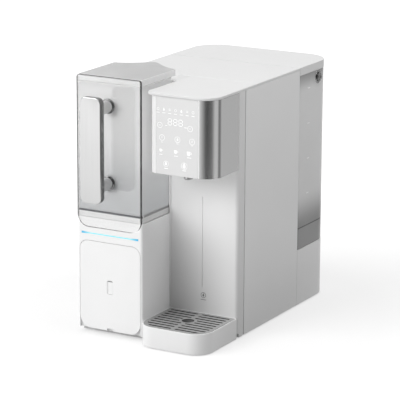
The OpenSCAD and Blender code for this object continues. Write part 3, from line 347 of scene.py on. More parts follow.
def drawn_metal():
    """Fine lines left by drawing or brushing along one direction, with a slow change of tone."""
    group, given, where = new_group(
        "drawn_metal",
        [
            ("Colour", "NodeSocketColor", (0.8, 0.8, 0.8, 1)),
            ("Line Colour", "NodeSocketColor", (0.7, 0.7, 0.7, 1)),
            ("Stretch", "NodeSocketVector", (1.0, 1.0, 0.02)),
            ("Scale", "NodeSocketFloat", 1400.0),
            ("Gloss Low", "NodeSocketFloat", 0.08),
            ("Gloss High", "NodeSocketFloat", 0.18),
        ],
    )
    stretch = add(group, "ShaderNodeVectorMath", operation="MULTIPLY")
    lines = dial(add(group, "ShaderNodeTexNoise"), Detail=2.0)
    wire(group, where, "Object", stretch, 0)
    wire(group, given, "Stretch", stretch, 1)
    wire(group, stretch, "Vector", lines, "Vector")
    wire(group, given, "Scale", lines, "Scale")
    line = lines.outputs["Fac"]
    return hand_out(group, given, "Line Colour", line, line, line)


MOULDED = moulded_surface()
DRAWN = drawn_metal()


# Finishes

BUMP_DISTANCE = 0.0002
COAT_ROUGHNESS = 0.08
CLEAR_IOR = 1.49

# Stretch of the drawn lines: up the piece, or from front to back
UPRIGHT = (1.0, 1.0, 0.015)
ALONG = (1.0, 0.015, 1.0)


def new_finish(name):
    material = bpy.data.materials.new(name)
    material.use_nodes = True
    tree = material.node_tree
    return material, tree, tree.nodes["Principled BSDF"]


def grey(value, tint=0.0):
    """A near-neutral colour; a positive tint leans to blue."""
    return (value - tint, value, value + tint, 1.0)


def use_group(tree, group, gloss, **values):
    node = add(tree, "ShaderNodeGroup", node_tree=group)
    return dial(node, Gloss_Low=gloss[0], Gloss_High=gloss[1], **values)


def bump(tree, shader, height, strength):
    node = dial(add(tree, "ShaderNodeBump"), Strength=strength, Distance=BUMP_DISTANCE)
    tree.links.new(height, node.inputs["Height"])
    wire(tree, node, "Normal", shader, "Normal")


def skinned(name, group, gloss, strength, **values):
    """A finish with one of the shared surfaces; its parts are handed back for more layers."""
    material, tree, shader = new_finish(name)
    skin = use_group(tree, group, gloss, **values)
    wire(tree, skin, "Colour", shader, "Base Color")
    wire(tree, skin, "Roughness", shader, "Roughness")
    bump(tree, shader, skin.outputs["Height"], strength)
    return material, tree, shader, skin


def moulding(name, colour, shade, gloss, grain, peel):
    return skinned(name, MOULDED, gloss, peel, Colour=colour, Shade=shade, Grain_Scale=grain)


def plastic(name, colour, shade, gloss, grain, peel, coat=0.0, specular=0.5):
    material, _, shader, _ = moulding(name, colour, shade, gloss, grain, peel)
    dial(
        shader,
        Coat_Weight=coat,
        Coat_Roughness=COAT_ROUGHNESS,
        Specular_IOR_Level=specular,
    )
    return material


def clear(name, colour, shade, gloss, see_through, grain=300.0, peel=0.02):
    """A see-through moulding."""
    parts = moulding(name, colour, shade, gloss, grain, peel)
    dial(parts[2], Transmission_Weight=see_through, IOR=CLEAR_IOR)
    return parts


def drawn(name, colour, line_colour, gloss, scale, lines, stretch=UPRIGHT):
    """A drawn or chromed metal."""
    parts = skinned(
        name,
        DRAWN,
        gloss,
        lines,
        Colour=colour,
        Line_Colour=line_colour,
        Stretch=stretch,
        Scale=scale,
    )
    dial(parts[2], Metallic=1.0)
    return parts


def metal(*values):
    return drawn(*values)[0]


def tint_between(tree, shown, axis, start, end, colour, blend="SMOOTHSTEP"):
    """Lays a colour, or another node's colour, over the shown one along an axis: none of it at
    start, all of it at end."""
    share = add(tree, "ShaderNodeMapRange", interpolation_type=blend)
    dial(share, From_Min=start, From_Max=end)
    layer = add(tree, "ShaderNodeMix", data_type="RGBA")
    if isinstance(colour, bpy.types.NodeSocket):
        tree.links.new(colour, layer.inputs["B"])
    else:
        dial(layer, B=colour)
    tree.links.new(coordinate(tree, axis), share.inputs["Value"])
    wire(tree, share, "Result", layer, "Factor")
    tree.links.new(shown, layer.inputs["A"])
    return layer.outputs["Result"]


def layered(parts, *layers):
    """Lays tints over a finish in turn and hands back its material."""
    material, tree, shader, skin = parts
    shown = skin.outputs["Colour"]
    for layer in layers:
        shown = tint_between(tree, shown, *layer)
    tree.links.new(shown, shader.inputs["Base Color"])
    return material


def plate_finish():
    """Clear front plate with painted shade: dark lines round its rim for its edges, a slightly
    darker band near its foot and a grey line along its foot.
    """
    parts = clear("plate_clear", grey(0.915), grey(0.905), (0.03, 0.05), 1.0)
    dial(parts[2], Specular_IOR_Level=0.2)
    low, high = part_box("jug_face")
    start, end = 1.8 * MM, 0.7 * MM
    dark_rim = grey(0.1)
    # Painted shade: dark rim lines, the right one kept to the front face, then a darker band and a
    # grey line near the foot
    return layered(
        parts,
        ("X", high.x - start, high.x - end, dark_rim),
        ("Y", low.y + 1.2 * MM, low.y + 1.8 * MM, parts[3].outputs["Colour"]),
        ("Z", low.z + 24 * MM, low.z + 10 * MM, grey(0.87)),
        ("Z", low.z + 1.4 * MM, low.z + 0.6 * MM, grey(0.5)),
        ("X", low.x + start, low.x + end, dark_rim),
        ("Z", high.z - start, high.z - end, dark_rim),
    )


def jug_finish():
    """Frosted clear jug with painted shade that deepens towards its floor."""
    parts = clear("jug_clear", grey(0.85), grey(0.83), (0.2, 0.26), 0.3)
    dial(parts[2], Subsurface_Weight=0.9, Subsurface_Scale=0.02, Subsurface_Radius=(1, 1, 1))
    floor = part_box("jug_body")[0].z
    return layered(parts, ("Z", floor + 130 * MM, floor + 4 * MM, grey(0.56, 0.01)))


def lid_finish():
    """Smoked lid, paler on its front and side walls."""
    parts = clear("lid_smoke", grey(0.57), grey(0.52), (0.46, 0.54), 0.3, 500.0, 0.06)
    dial(parts[2], Specular_IOR_Level=0.15)
    low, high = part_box("jug_lid")
    start, end = 1.4 * MM, 0.6 * MM
    pale = grey(0.84)
    return layered(
        parts,
        ("Y", low.y + start, low.y + end, pale),
        ("X", low.x + start, low.x + end, pale),
        ("X", high.x - start, high.x - end, pale),
    )


def foot_finish():
    """Milky foot with a dark line along its top rim, darkest in front and at its rear end."""
    parts = clear("foot_clear", grey(0.82), grey(0.8), (0.2, 0.28), 0.2)
    tree, milk = parts[1], parts[3].outputs["Colour"]
    low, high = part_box("jug_foot")
    dark_rim = (0.05, 0.055, 0.065, 1)
    line = tint_between(tree, milk, "Y", low.y + 3 * MM, low.y + 2 * MM, dark_rim)
    line = tint_between(tree, line, "Y", low.y + 3 * MM, low.y + 8 * MM, grey(0.34))
    line = tint_between(tree, line, "Y", high.y - 5 * MM, high.y - 4 * MM, dark_rim)
    return layered(parts, ("Z", high.z - 3.6 * MM, high.z - 2.6 * MM, line))


def tank_finish():
    """Smoked tank wall with painted shade: deeper towards its floor and under its lid, and a dark
    painted line at its foot.
    """
    low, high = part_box("raw_tank")
    return layered(
        clear("tank_smoke_and_shade", grey(0.84), grey(0.81), (0.32, 0.4), 0.22),
        ("Z", low.z + 60 * MM, low.z, grey(0.3)),
        ("Z", high.z - 40 * MM, high.z - 8 * MM, grey(0.42)),
        ("Z", low.z + 2.4 * MM, low.z + 1.2 * MM, grey(0.05)),
    )


def grille_finish():
    """Grey moulding with painted shade on its slot walls, just under the top face."""
    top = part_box("drip_grille")[1].z
    return layered(
        moulding("grille_grey", grey(0.35), grey(0.31), (0.3, 0.38), 900.0, 0.05),
        ("Z", top - 0.3 * MM, top - 0.7 * MM, grey(0.02)),
        ("Z", top - 1.6 * MM, top - 2.0 * MM, grey(0.16)),
    )


def niche_finish():
    """White niche wall with painted shade that deepens towards the tray and the cabinet."""
    parts = moulding("niche_white", grey(0.71), grey(0.695), (0.36, 0.44), 1100.0, 0.03)
    white = parts[3].outputs["Colour"]
    lower = tint_between(parts[1], white, "Z", 250 * MM, 40 * MM, grey(0.48))
    return layered(parts, ("X", 112 * MM, 30 * MM, lower))


def latch_finish():
    """White latch with painted shade along its top edge, standing for the shadow of a finger slit.
    """
    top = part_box("latch_button")[1].z
    return layered(
        moulding("latch_white", grey(0.84), grey(0.82), (0.3, 0.38), 1100.0, 0.03),
        ("Z", top - 1.9 * MM, top - 0.9 * MM, grey(0.2)),
    )


def knob_finish():
    """Chromed rim over a dark recess."""
    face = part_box("tank_knob")[1].x
    return layered(
        drawn("knob_chrome", grey(0.5), grey(0.42), (0.12, 0.2), 700.0, 0.02),
        ("X", face - 0.5 * MM, face - 1.2 * MM, grey(0.025)),
    )


def post_finish():
    """Chromed posts with painted shade at the ends that stand on the plate and under the bar."""
    low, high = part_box("handle_posts")
    return layered(
        drawn("post_chrome", grey(0.6), grey(0.52), (0.06, 0.1), 500.0, 0.01),
        ("Y", high.y - 7 * MM, high.y - 3 * MM, grey(0.2)),
        ("Y", low.y + 9 * MM, low.y + 3 * MM, grey(0.16)),
    )


def handle_bar_finish():
    """Bright chrome on the bar's face, with painted dark reflection on its sides and back."""
    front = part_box("jug_handle")[0].y
    return layered(
        drawn("handle_bar", grey(0.54), grey(0.5), (0.05, 0.09), 500.0, 0.008),
        ("Y", front + 0.2 * MM, front + 1.0 * MM, grey(0.2), "LINEAR"),
    )


# Gloss and grain of the lit pieces
LIT_GLOSS = (0.3, 0.4)
LIT_GRAIN = 400.0


def lit(name, colour, glow, strength):
    """A printed mark that glows a little."""
    material, tree, shader = new_finish(name)
    skin = use_group(tree, MOULDED, LIT_GLOSS, Colour=colour, Shade=glow, Grain_Scale=LIT_GRAIN)
    wire(tree, skin, "Colour", shader, "Base Color")
    wire(tree, skin, "Roughness", shader, "Roughness")
    wire(tree, skin, "Colour", shader, "Emission Color")
    dial(shader, Emission_Strength=strength)
    return material


def board_finish():
    """Green lacquer with copper tracks showing through and pale pads."""
    material, tree, shader = new_finish("board_lacquer")
    where = add(tree, "ShaderNodeTexCoord")
    tracks = dial(
        add(tree, "ShaderNodeTexBrick"),
        Scale=120.0,
        Mortar_Size=0.02,
        Color1=(0.012, 0.09, 0.045, 1),
        Color2=(0.016, 0.11, 0.055, 1),
        Mortar=(0.05, 0.2, 0.09, 1),
    )
    pads = dial(add(tree, "ShaderNodeTexVoronoi"), Scale=160.0)
    dots = dial(add(tree, "ShaderNodeMapRange"), From_Min=0.16, From_Max=0.12)
    solder = dial(add(tree, "ShaderNodeMix", data_type="RGBA"), B=(0.55, 0.55, 0.52, 1))
    wire(tree, where, "Object", tracks, "Vector")
    wire(tree, where, "Object", pads, "Vector")
    wire(tree, pads, "Distance", dots, "Value")
    wire(tree, dots, "Result", solder, "Factor")
    wire(tree, tracks, "Color", solder, "A")
    wire(tree, solder, "Result", shader, "Base Color")
    bump(tree, shader, dots.outputs["Result"], 0.2)
    dial(shader, Roughness=0.35)
    return material


# Depths of the coloured ring on a filter, in millimetres
RING_FRONT, RING_REAR = 30, 44


def cartridge_finish(name, colour, band):
    """A white filter shell with a coloured ring near its grip."""
    material, tree, shader, skin = moulding(name, colour, grey(0.7), (0.3, 0.42), 700.0, 0.06)
    depth = coordinate(tree, "Y")
    near = add(tree, "ShaderNodeMath", operation="GREATER_THAN")
    near.inputs[1].default_value = place(0, RING_FRONT, 0).y
    far = add(tree, "ShaderNodeMath", operation="LESS_THAN")
    far.inputs[1].default_value = place(0, RING_REAR, 0).y
    ring = add(tree, "ShaderNodeMath", operation="MULTIPLY")
    paint = dial(add(tree, "ShaderNodeMix", data_type="RGBA"), B=band)
    for index, limit in enumerate((near, far)):
        tree.links.new(depth, limit.inputs[0])
        wire(tree, limit, "Value", ring, index)
    wire(tree, ring, "Value", paint, "Factor")
    wire(tree, skin, "Colour", paint, "A")
    wire(tree, paint, "Result", shader, "Base Color")
    return material


def light_guide_finish():
    """A milky strip lit from behind: coloured along its middle, pale at its rims, deeper at its
    ends."""
    material, tree, shader = new_finish("light_guide")
    low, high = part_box("light_bar")
    rise = dial(add(tree, "ShaderNodeMapRange"), From_Min=low.z, From_Max=high.z)
    glow = add(tree, "ShaderNodeValToRGB")
    ramp = glow.color_ramp
    for stop, position in zip(ramp.elements, (0.26, 0.74)):
        stop.position = position
        stop.color = (0.62, 0.66, 0.68, 1)
    for position in (0.4, 0.6):
        ramp.elements.new(position).color = (0.02, 0.58, 0.62, 1)
    blue = (0.86, 0.97, 1.0, 1)
    grain = use_group(
        tree, MOULDED, LIT_GLOSS, Colour=grey(1.0), Shade=blue, Grain_Scale=LIT_GRAIN
    )
    milk = add(tree, "ShaderNodeMix", data_type="RGBA", blend_type="MULTIPLY")
    dial(milk, Factor=1.0)
    tree.links.new(coordinate(tree, "Z"), rise.inputs["Value"])
    wire(tree, rise, "Result", glow, "Fac")
    wire(tree, glow, "Color", milk, "A")
    wire(tree, grain, "Colour", milk, "B")
    deeper = (0.06, 0.36, 0.56, 1)
    shown = milk.outputs["Result"]
    shown = tint_between(tree, shown, "X", low.x + 16 * MM, low.x, deeper)
    shown = tint_between(tree, shown, "X", high.x - 16 * MM, high.x, deeper)
    tree.links.new(shown, shader.inputs["Emission Color"])
    tree.links.new(shown, shader.inputs["Base Color"])
    wire(tree, grain, "Roughness", shader, "Roughness")
    dial(shader, Emission_Strength=0.42)
    return material


FINISH = {
    "niche_white": niche_finish(),
    "latch_white": latch_finish(),
    "handle_bar": handle_bar_finish(),
    "post_chrome": post_finish(),
    "plate_clear": plate_finish(),
    "jug_clear": jug_finish(),
    "lid_smoke": lid_finish(),
    "foot_clear": foot_finish(),
    "tank_smoke_and_shade": tank_finish(),
    "grille_grey": grille_finish(),
    "knob_chrome": knob_finish(),
    "light_guide": light_guide_finish(),
    "board": board_finish(),
    "composite_white": cartridge_finish("composite_white", grey(0.78), (0.05, 0.22, 0.5, 1)),
    "membrane_white": cartridge_finish("membrane_white", grey(0.74, 0.01), (0.04, 0.38, 0.36, 1)),
    "hose_clear": clear("hose_clear", grey(0.8, 0.01), grey(0.76, 0.01), (0.2, 0.3), 0.3)[0],
}

# Name, colour, shade, gloss, grain, peel, and where they aren't the usual ones coat and specular
PLASTICS = (
    ("shell_white", grey(0.84), grey(0.82), (0.3, 0.38), 1100.0, 0.03),
    # The covers' white is the shell's white toned down: painted shade on the top faces
    ("cover_white", grey(0.72), grey(0.705), (0.54, 0.62), 1100.0, 0.03, 0.0, 0.1),
    ("side_white", grey(0.79), grey(0.775), (0.34, 0.42), 1100.0, 0.03),
    ("inner_white", grey(0.66), grey(0.62), (0.42, 0.52), 600.0, 0.08),
    ("panel_glass", grey(0.7), grey(0.68), (0.12, 0.18), 300.0, 0.004, 0.3),
    ("tank_base_grey", grey(0.27), grey(0.25), (0.3, 0.4), 800.0, 0.06),
    ("dark_plastic", grey(0.028), grey(0.02), (0.28, 0.4), 800.0, 0.08),
    ("rubber", grey(0.022), grey(0.016), (0.7, 0.85), 500.0, 0.25, 0.0, 0.3),
    ("silicone", grey(0.5), grey(0.45), (0.5, 0.6), 500.0, 0.1, 0.0, 0.4),
    ("mark_grey", grey(0.16), grey(0.13), (0.4, 0.5), 400.0, 0.01),
)

# Name, colour, line colour, gloss, scale and depth of the lines, and their stretch if not upright
METALS = (
    ("trim_metal", grey(0.76), grey(0.70), (0.12, 0.18), 1400.0, 0.03),
    ("grip_chrome", grey(0.3), grey(0.22), (0.12, 0.2), 700.0, 0.02),
    ("nozzle_metal", grey(0.5), grey(0.44), (0.2, 0.28), 700.0, 0.02),
    ("motor_metal", grey(0.42), grey(0.34), (0.28, 0.42), 900.0, 0.06, ALONG),
    ("steel", grey(0.5), grey(0.42), (0.25, 0.38), 900.0, 0.06, ALONG),
)

# Name, colour, drifting colour and glow
LIT_MARKS = (
    ("mark_white", grey(0.9), grey(0.93), 0.14),
    ("mark_soft", grey(0.9), grey(0.93), 0.1),
    # mark_faint also dresses the tank's level marks, where its glow is painted light
    ("mark_faint", grey(0.9), grey(0.88), 0.16),
)

for kind, rows in ((plastic, PLASTICS), (metal, METALS), (lit, LIT_MARKS)):
    for row in rows:
        FINISH[row[0]] = kind(*row)

NODE_FINISH = {
    "shell_white": ["cabinet_shell", "filter_door", "drip_tray", "head_shell"],
    "latch_white": ["latch_button"],
    "cover_white": ["head_cover", "top_cover", "tank_lid"],
    "side_white": ["right_side_panel", "left_side_panel", "rear_base"],
    "niche_white": ["front_frame", "bay_wall"],
    "inner_white": [
        "base_pan",
        "tank_bay_wall",
        "filter_cradle",
        "filter_manifold",
        "tank_dock",
        "jug_dock",
        "tank_strainer",
        "pump_head",
        "door_catches",
    ],
    "panel_glass": ["touch_panel"],
    "trim_metal": ["head_trim", "nozzle_collar"],
    "handle_bar": ["jug_handle"],
    "post_chrome": ["handle_posts"],
    "plate_clear": ["jug_face"],
    "jug_clear": ["jug_body"],
    "lid_smoke": ["jug_lid"],
    "foot_clear": ["jug_foot"],
    "tank_smoke_and_shade": ["raw_tank"],
    "tank_base_grey": ["tank_base"],
    "grille_grey": ["drip_grille"],
    "knob_chrome": ["tank_knob"],
    "nozzle_metal": ["outlet_nozzle"],
    "dark_plastic": ["power_inlet", "jug_valve", "jug_poppet", "tank_poppet"],
    "rubber": ["rubber_feet", "pump_mounts"],
    "silicone": [
        "tank_dock_seal",
        "jug_dock_seal",
        "composite_seals",
        "membrane_seals",
        "jug_lid_seal",
    ],
    "hose_clear": ["water_lines"],
    "motor_metal": ["pump_motor", "heater", "pump_bracket"],
    "steel": ["case_screws", "solenoid_valves"],
    "light_guide": ["light_bar"],
    "board": ["display_board", "power_board"],
    "composite_white": ["composite_filter"],
    "membrane_white": ["membrane_filter"],
}

CASTS_NO_SHADOW = ("jug_face", "jug_body", "handle_posts", "raw_tank")


def paint_nodes():
    for finish, names in NODE_FINISH.items():
        for name in names:
            node = NODES[name]
            node.data.materials.clear()
            node.data.materials.append(FINISH[finish])
    for name in CASTS_NO_SHADOW:
        NODES[name].visible_shadow = False


# Soft edges on the moulded pieces, by their width in millimetres
SOFT_EDGE = {
    0.3: ["touch_panel", "head_trim", "outlet_nozzle"],
    0.4: ["bay_wall", "tank_knob", "latch_button", "power_inlet", "jug_body", "nozzle_collar"],
    0.5: [
        "head_shell",
        "right_side_panel",
        "left_side_panel",
        "front_frame",
        "raw_tank",
        "drip_grille",
        "handle_posts",
    ],
    0.6: ["filter_door", "rear_base", "jug_foot", "tank_base"],
    0.8: ["cabinet_shell"],
    0.9: ["head_cover", "top_cover", "tank_lid", "jug_face"],
    1.2: ["drip_tray"],
}
WELD_REACH = 0.01 * MM
FLAT_ANGLE = math.radians(0.5)
EDGE_ANGLE = math.radians(35)


def soften(node, width):
    node.modifiers.new("weld", "WELD").merge_threshold = WELD_REACH
    flat = node.modifiers.new("flat", "DECIMATE")
    flat.decimate_type = "DISSOLVE"
    flat.angle_limit = FLAT_ANGLE
    edge = node.modifiers.new("edge", "BEVEL")
    edge.width = width
    edge.segments = 3
    edge.limit_method = "ANGLE"
    edge.angle_limit = EDGE_ANGLE
    node.modifiers.new("even", "WEIGHTED_NORMAL")


def soften_nodes():
    for width, names in SOFT_EDGE.items():
        for name in names:
            soften(NODES[name], width * MM)


# Handle

# How far the bar reaches past its plain solid: to the left, to the right and at each end
BAR_LEFT, BAR_RIGHT, BAR_END = 3.4 * MM, 0.8 * MM, 1.2 * MM
BAR_CORNER, BAR_FRONT_RIM, BAR_BACK_RIM = 10 * MM, 1.3 * MM, 5 * MM
COLLAR_DEEP, COLLAR_RIM = 2.8 * MM, 1.6 * MM


def make_bar():
    """The chromed bar: round at its corners, with its front and back rims rounded off."""
    low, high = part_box("jug_handle")
    low -= Vector((BAR_LEFT, 0, BAR_END))
    high += Vector((BAR_RIGHT, 0, BAR_END))
    bar = start_block("handle_bar", low, high)
    choose_edges(bar, lambda middle, course: abs(course.y) > STRAIGHT)
    bevel_chosen(BAR_CORNER, 8)
    choose_edges(bar, lambda middle, course: abs(middle.y - low.y) < NEAR)
    bevel_chosen(BAR_FRONT_RIM, 8)
    choose_edges(bar, lambda middle, course: abs(middle.y - high.y) < NEAR)
    bevel_chosen(BAR_BACK_RIM, 6)
    smooth(bar)
    fit(bar, "jug", "chrome_handle", "handle_bar", "jug_handle")
    bar.visible_shadow = False


def make_collars():
    """A chamfered collar where each post stands on the plate."""
    low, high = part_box("handle_posts")
    plate_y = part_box("jug_face")[0].y
    radius = (high.x - low.x) / 2
    spot = Vector(((low.x + high.x) / 2, plate_y - COLLAR_DEEP / 2, low.z + radius))
    lower = start_disc("lower_collar", spot, radius + COLLAR_RIM, COLLAR_DEEP, 64)
    choose_faces(lower, lambda middle, normal: normal.y < -STRAIGHT)
    bpy.ops.mesh.inset(thickness=1.1 * MM, depth=0.9 * MM)
    shaped()
    round_edges(lower, 0.4 * MM)
    smooth(lower)
    upper = copy_of(lower, "upper_collar", (0, 0, (high.z - low.z) - 2 * radius))
    for piece in (lower, upper):
        fit(piece, "jug", "chrome_handle", "post_chrome")


# Jug lid, in millimetres

# Depth of the lid's rear edge, at equal steps from the spout's tip out to the corner
LID_REAR = (142, 136.5, 127.5, 120, 114, 110, 107.5)
LID_UNDERSIDE = 407
LID_CORNER = 3.4
PLUG_INSET = 4.6
PLUG_WALL = 2.4
PLUG_REAR = 98.4
PLUG_CORNER = 9.4
PLUG_HOLLOW = 7


def make_lid_plug(low, high):
    """The hollow plug under the lid, round at its rear corners."""
    inset = PLUG_INSET * MM
    rear = place(0, PLUG_REAR, 0).y
    top = (LID_UNDERSIDE + 0.5) * MM
    front_left = (low.x + inset, low.y + inset, low.z)
    plug = start_block("plug", front_left, (high.x - inset, rear, top))
    choose_edges(
        plug, lambda middle, course: abs(course.z) > STRAIGHT and middle.y > rear - NEAR
    )
    bevel_chosen(PLUG_CORNER * MM, 8)
    choose_faces(plug, lambda middle, normal: normal.z < -STRAIGHT)
    bpy.ops.mesh.inset(thickness=PLUG_WALL * MM)
    bpy.ops.mesh.extrude_region_move(
        TRANSFORM_OT_translate={"value": (0, 0, PLUG_HOLLOW * MM)}
    )
    shaped()
    round_edges(plug, 0.4 * MM)
    return plug


def make_jug_lid():
    """Smoked lid: a slab whose rear edge is drawn out in steps to a broad spout, over its plug."""
    low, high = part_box("jug_lid")
    rear = place(0, LID_REAR[-1], 0).y
    lid = start_block("smoked_lid", (low.x, low.y, LID_UNDERSIDE * MM), (high.x, rear, high.z))
    choose_edges(
        lid, lambda middle, course: abs(course.x) > STRAIGHT and middle.y > rear - NEAR
    )
    steps = len(LID_REAR) - 1
    bpy.ops.mesh.subdivide(number_cuts=2 * steps - 1)
    shaped()
    middle_x = (low.x + high.x) / 2
    half = (high.x - low.x) / 2

    def at_rear(reach):
        return lambda co: co.y > rear - NEAR and abs(abs(co.x - middle_x) - reach) < NEAR

    for index, depth in enumerate(LID_REAR[:-1]):
        choose_points(lid, at_rear(half * index / steps))
        move_chosen(0, (depth - LID_REAR[-1]) * MM, 0)
    choose_edges(
        lid, lambda middle, course: abs(course.z) > STRAIGHT and abs(middle.y - rear) < NEAR
    )
    bevel_chosen(LID_CORNER * MM, 4)
    round_edges(lid, 1.0 * MM, 50)
    lid = join("smoked_lid", [lid, make_lid_plug(low, high)])
    smooth(lid)
    fit(lid, "jug_lid", "smoke_plastic", "lid_smoke", "jug_lid")
    lid.visible_shadow = False


# Panel and wall marks, in millimetres

# A mark stands this far out of its face and reaches this far into it
PRINT_OUT = 0.12
PRINT_IN = 0.05
PRINT_DEEP = PRINT_OUT + PRINT_IN
PRINT_SHIFT = (PRINT_IN - PRINT_OUT) / 2

# Depths of the faces that are printed on
PANEL_Y = 6.3
WALL_Y = 86.0


def printed_bar(x, z, wide, tall, face_y=PANEL_Y, corner=0.3):
    """A thin printed bar with cut corners that lies on a front face."""
    low = place(x - wide / 2, face_y - PRINT_OUT, z - tall / 2)
    high = place(x + wide / 2, face_y + PRINT_IN, z + tall / 2)
    piece = start_block("bar", low, high)
    choose_edges(piece, lambda middle, course: abs(course.y) > STRAIGHT)
    bevel_chosen(min(corner, 0.45 * wide, 0.45 * tall) * MM, 2)
    return piece


def printed_ring(x, z, radius, line, face_y=PANEL_Y):
    centre = place(x, face_y + PRINT_SHIFT, z)
    return start_tube("ring", centre, radius * MM, PRINT_DEEP * MM, line * MM, 40)


def printed_drop(x, z, tall, face_y=PANEL_Y):
    """A solid drop: a disc whose upper rim is drawn up to a point."""
    radius = 0.32 * tall
    centre = place(x, face_y + PRINT_SHIFT, z - tall / 2 + radius)
    reach = radius * MM
    piece = start_disc("drop", centre, reach, PRINT_DEEP * MM, 24)
    choose_points(piece, lambda co: co.z > centre.z + 0.93 * reach)
    move_chosen(0, 0, (tall - 2 * radius) * MM)
    choose_points(piece, lambda co: centre.z + 0.3 * reach < co.z < centre.z + reach)
    move_chosen(0, 0, 0.12 * tall * MM)
    return piece


def printed_cup(x, z, size):
    """A tapered cup with an ear."""
    centre_x = x - 0.1 * size
    cup = printed_bar(centre_x, z, 0.8 * size, 0.75 * size, PANEL_Y, 0.12 * size)
    middle = place(centre_x, PANEL_Y, z)
    choose_points(cup, lambda co: co.z < middle.z)
    bpy.ops.transform.resize(value=(0.7, 1, 1), center_override=middle)
    shaped()
    ear = printed_ring(x + 0.36 * size, z + 0.06 * size, 0.2 * size, 0.09 * size)
    return [cup, ear]


def digit(x, z, wide, tall, line):
    """Seven bars of a number display, all lit."""
    half = tall / 2
    gap = 1.3 * line
    corner = 0.45 * line
    bars = []
    for step in (-1, 0, 1):
        bars.append(printed_bar(x, z + step * half, wide - gap, line, PANEL_Y, corner))
    for side in (-1, 1):
        side_x = x + side * wide / 2
        for step in (-0.5, 0.5):
            bars.append(
                printed_bar(side_x, z + step * half, line, half - gap, PANEL_Y, corner)
            )
    return join("digit", bars)


# Places across and up, then sizes
FIRST_DIGIT = (43.6, 357.3, 6.2, 9.6, 1.0)
DIGIT_STEP = 9.4
STATUS_X, STATUS_STEP, STATUS_Z = 22.8, 10.2, 375.8
STATUS_LINE_Z = 370.2
UNIT_LINES = ((37.0, 351.0, 3.6, 1.0), (71.2, 351.0, 5.4, 1.0))
MODE_RINGS = (
    (25.9, 350.6, 4.6),
    (79.0, 350.2, 4.6),
    (29.7, 331.5, 4.8),
    (57.0, 331.0, 4.8),
    (82.4, 330.4, 4.8),
)
MODE_DROP = (57.0, 331.4, 4.4)
MODE_BARS = (
    (29.7, 332.4, 0.7, 4.0),
    (82.4, 331.6, 3.4, 0.7),
    (82.4, 329.4, 3.4, 0.7),
    (25.9, 350.6, 3.6, 0.6),
    (79.0, 350.2, 3.6, 0.6),
    (29.7, 324.4, 4.0, 0.6),
    (57.0, 324.4, 4.0, 0.6),
    (82.4, 324.4, 4.0, 0.6),
)
CUP_Z, CUP_LINE_Z = 311.4, 305.0
CUPS = ((28.0, 6.0), (54.4, 7.2), (77.4, 8.4))
POUR_Z, POUR_RING_Z, POUR_LINE_Z = 291.5, 291.0, 283.8
POURS = ((36.8, 6.0, 4.6), (68.8, 8.0, 5.4))


def status_mark(index):
    """A line with a ring, a drop or two bars over it, in turn."""
    x = STATUS_X + index * STATUS_STEP
    line = printed_bar(x, STATUS_LINE_Z, 5.4, 0.9)
    if index % 3 == 0:
        return [line, printed_ring(x, STATUS_Z, 2.2, 0.6)]
    if index % 3 == 1:
        return [line, printed_drop(x, STATUS_Z, 4.8)]
    upper = printed_bar(x, STATUS_Z + 1.4, 3.6, 0.7)
    return [line, upper, printed_bar(x, STATUS_Z - 0.6, 3.6, 0.7)]


def make_panel_marks():
    first = digit(*FIRST_DIGIT)
    figures = [first]
    for step in (1, 2):
        figures.append(copy_of(first, "digit", (step * DIGIT_STEP * MM, 0, 0)))
    fit(join("display_digits", figures), "housing", "light_guide", "mark_white")

    small = [mark for index in range(7) for mark in status_mark(index)]
    small += [printed_bar(*bar) for bar in UNIT_LINES]
    fit(join("status_marks", small), "housing", "light_guide", "mark_soft")

    faint = [printed_ring(x, z, radius, 0.6) for x, z, radius in MODE_RINGS]
    faint.append(printed_drop(*MODE_DROP))
    faint += [printed_bar(*bar) for bar in MODE_BARS]
    fit(join("mode_marks", faint), "housing", "light_guide", "mark_faint")

    cups = []
    for x, size in CUPS:
        cups += printed_cup(x, CUP_Z, size)
        cups.append(printed_bar(x, CUP_LINE_Z, 0.9 * size, 0.9))
    for x, tall, radius in POURS:
        cups.append(printed_drop(x, POUR_Z, tall))
        cups.append(printed_bar(x, POUR_LINE_Z, 6.4, 1.0))
        cups.append(printed_ring(x, POUR_RING_Z, radius, 0.5))
    fit(join("cup_marks", cups), "housing", "light_guide", "mark_white")


def make_wall_mark():
    ring = printed_ring(59.0, 64.0, 4.6, 0.8, WALL_Y)
    drop = printed_drop(59.0, 64.2, 5.2, WALL_Y)
    line = printed_bar(59.0, 56.6, 10.0, 0.9, WALL_Y)
    fit(join("drop_mark", [ring, drop, line]), "housing", "grey_plastic", "mark_grey")


# Small fittings, in millimetres

BEAD_X, BEAD_Y = -1.7, 85.7
BEAD_LOW, BEAD_HIGH = 36.5, 273.6
LEDGE_FRONT, LEDGE_REAR = 104.5, 147.5
LEDGE_LOW, LEDGE_HIGH = 397, 399.8
LEVEL_FRONT, LEVEL_REAR = 320.8, 329.2
LEVEL_LOW, LEVEL_HIGH = 185.9, 187.5
LEVEL_STEP = 58.5
KNOB_Y, KNOB_Z = 358, 375


def make_corner_bead():
    """A slim round bead that closes the seam in the niche's inner corner."""
    low, high = place(BEAD_X, BEAD_Y, BEAD_LOW), place(BEAD_X, BEAD_Y, BEAD_HIGH)
    middle = (low + high) / 2
    bead = start_disc("corner_bead", middle, 1.5 * MM, high.z - low.z, 20, STANDING)
    choose_faces(bead, lambda middle, normal: abs(normal.z) > STRAIGHT)
    bpy.ops.mesh.inset(thickness=0.5 * MM, depth=0.3 * MM)
    shaped()
    smooth(bead)
    fit(bead, "housing", "white_plastic", "niche_white")


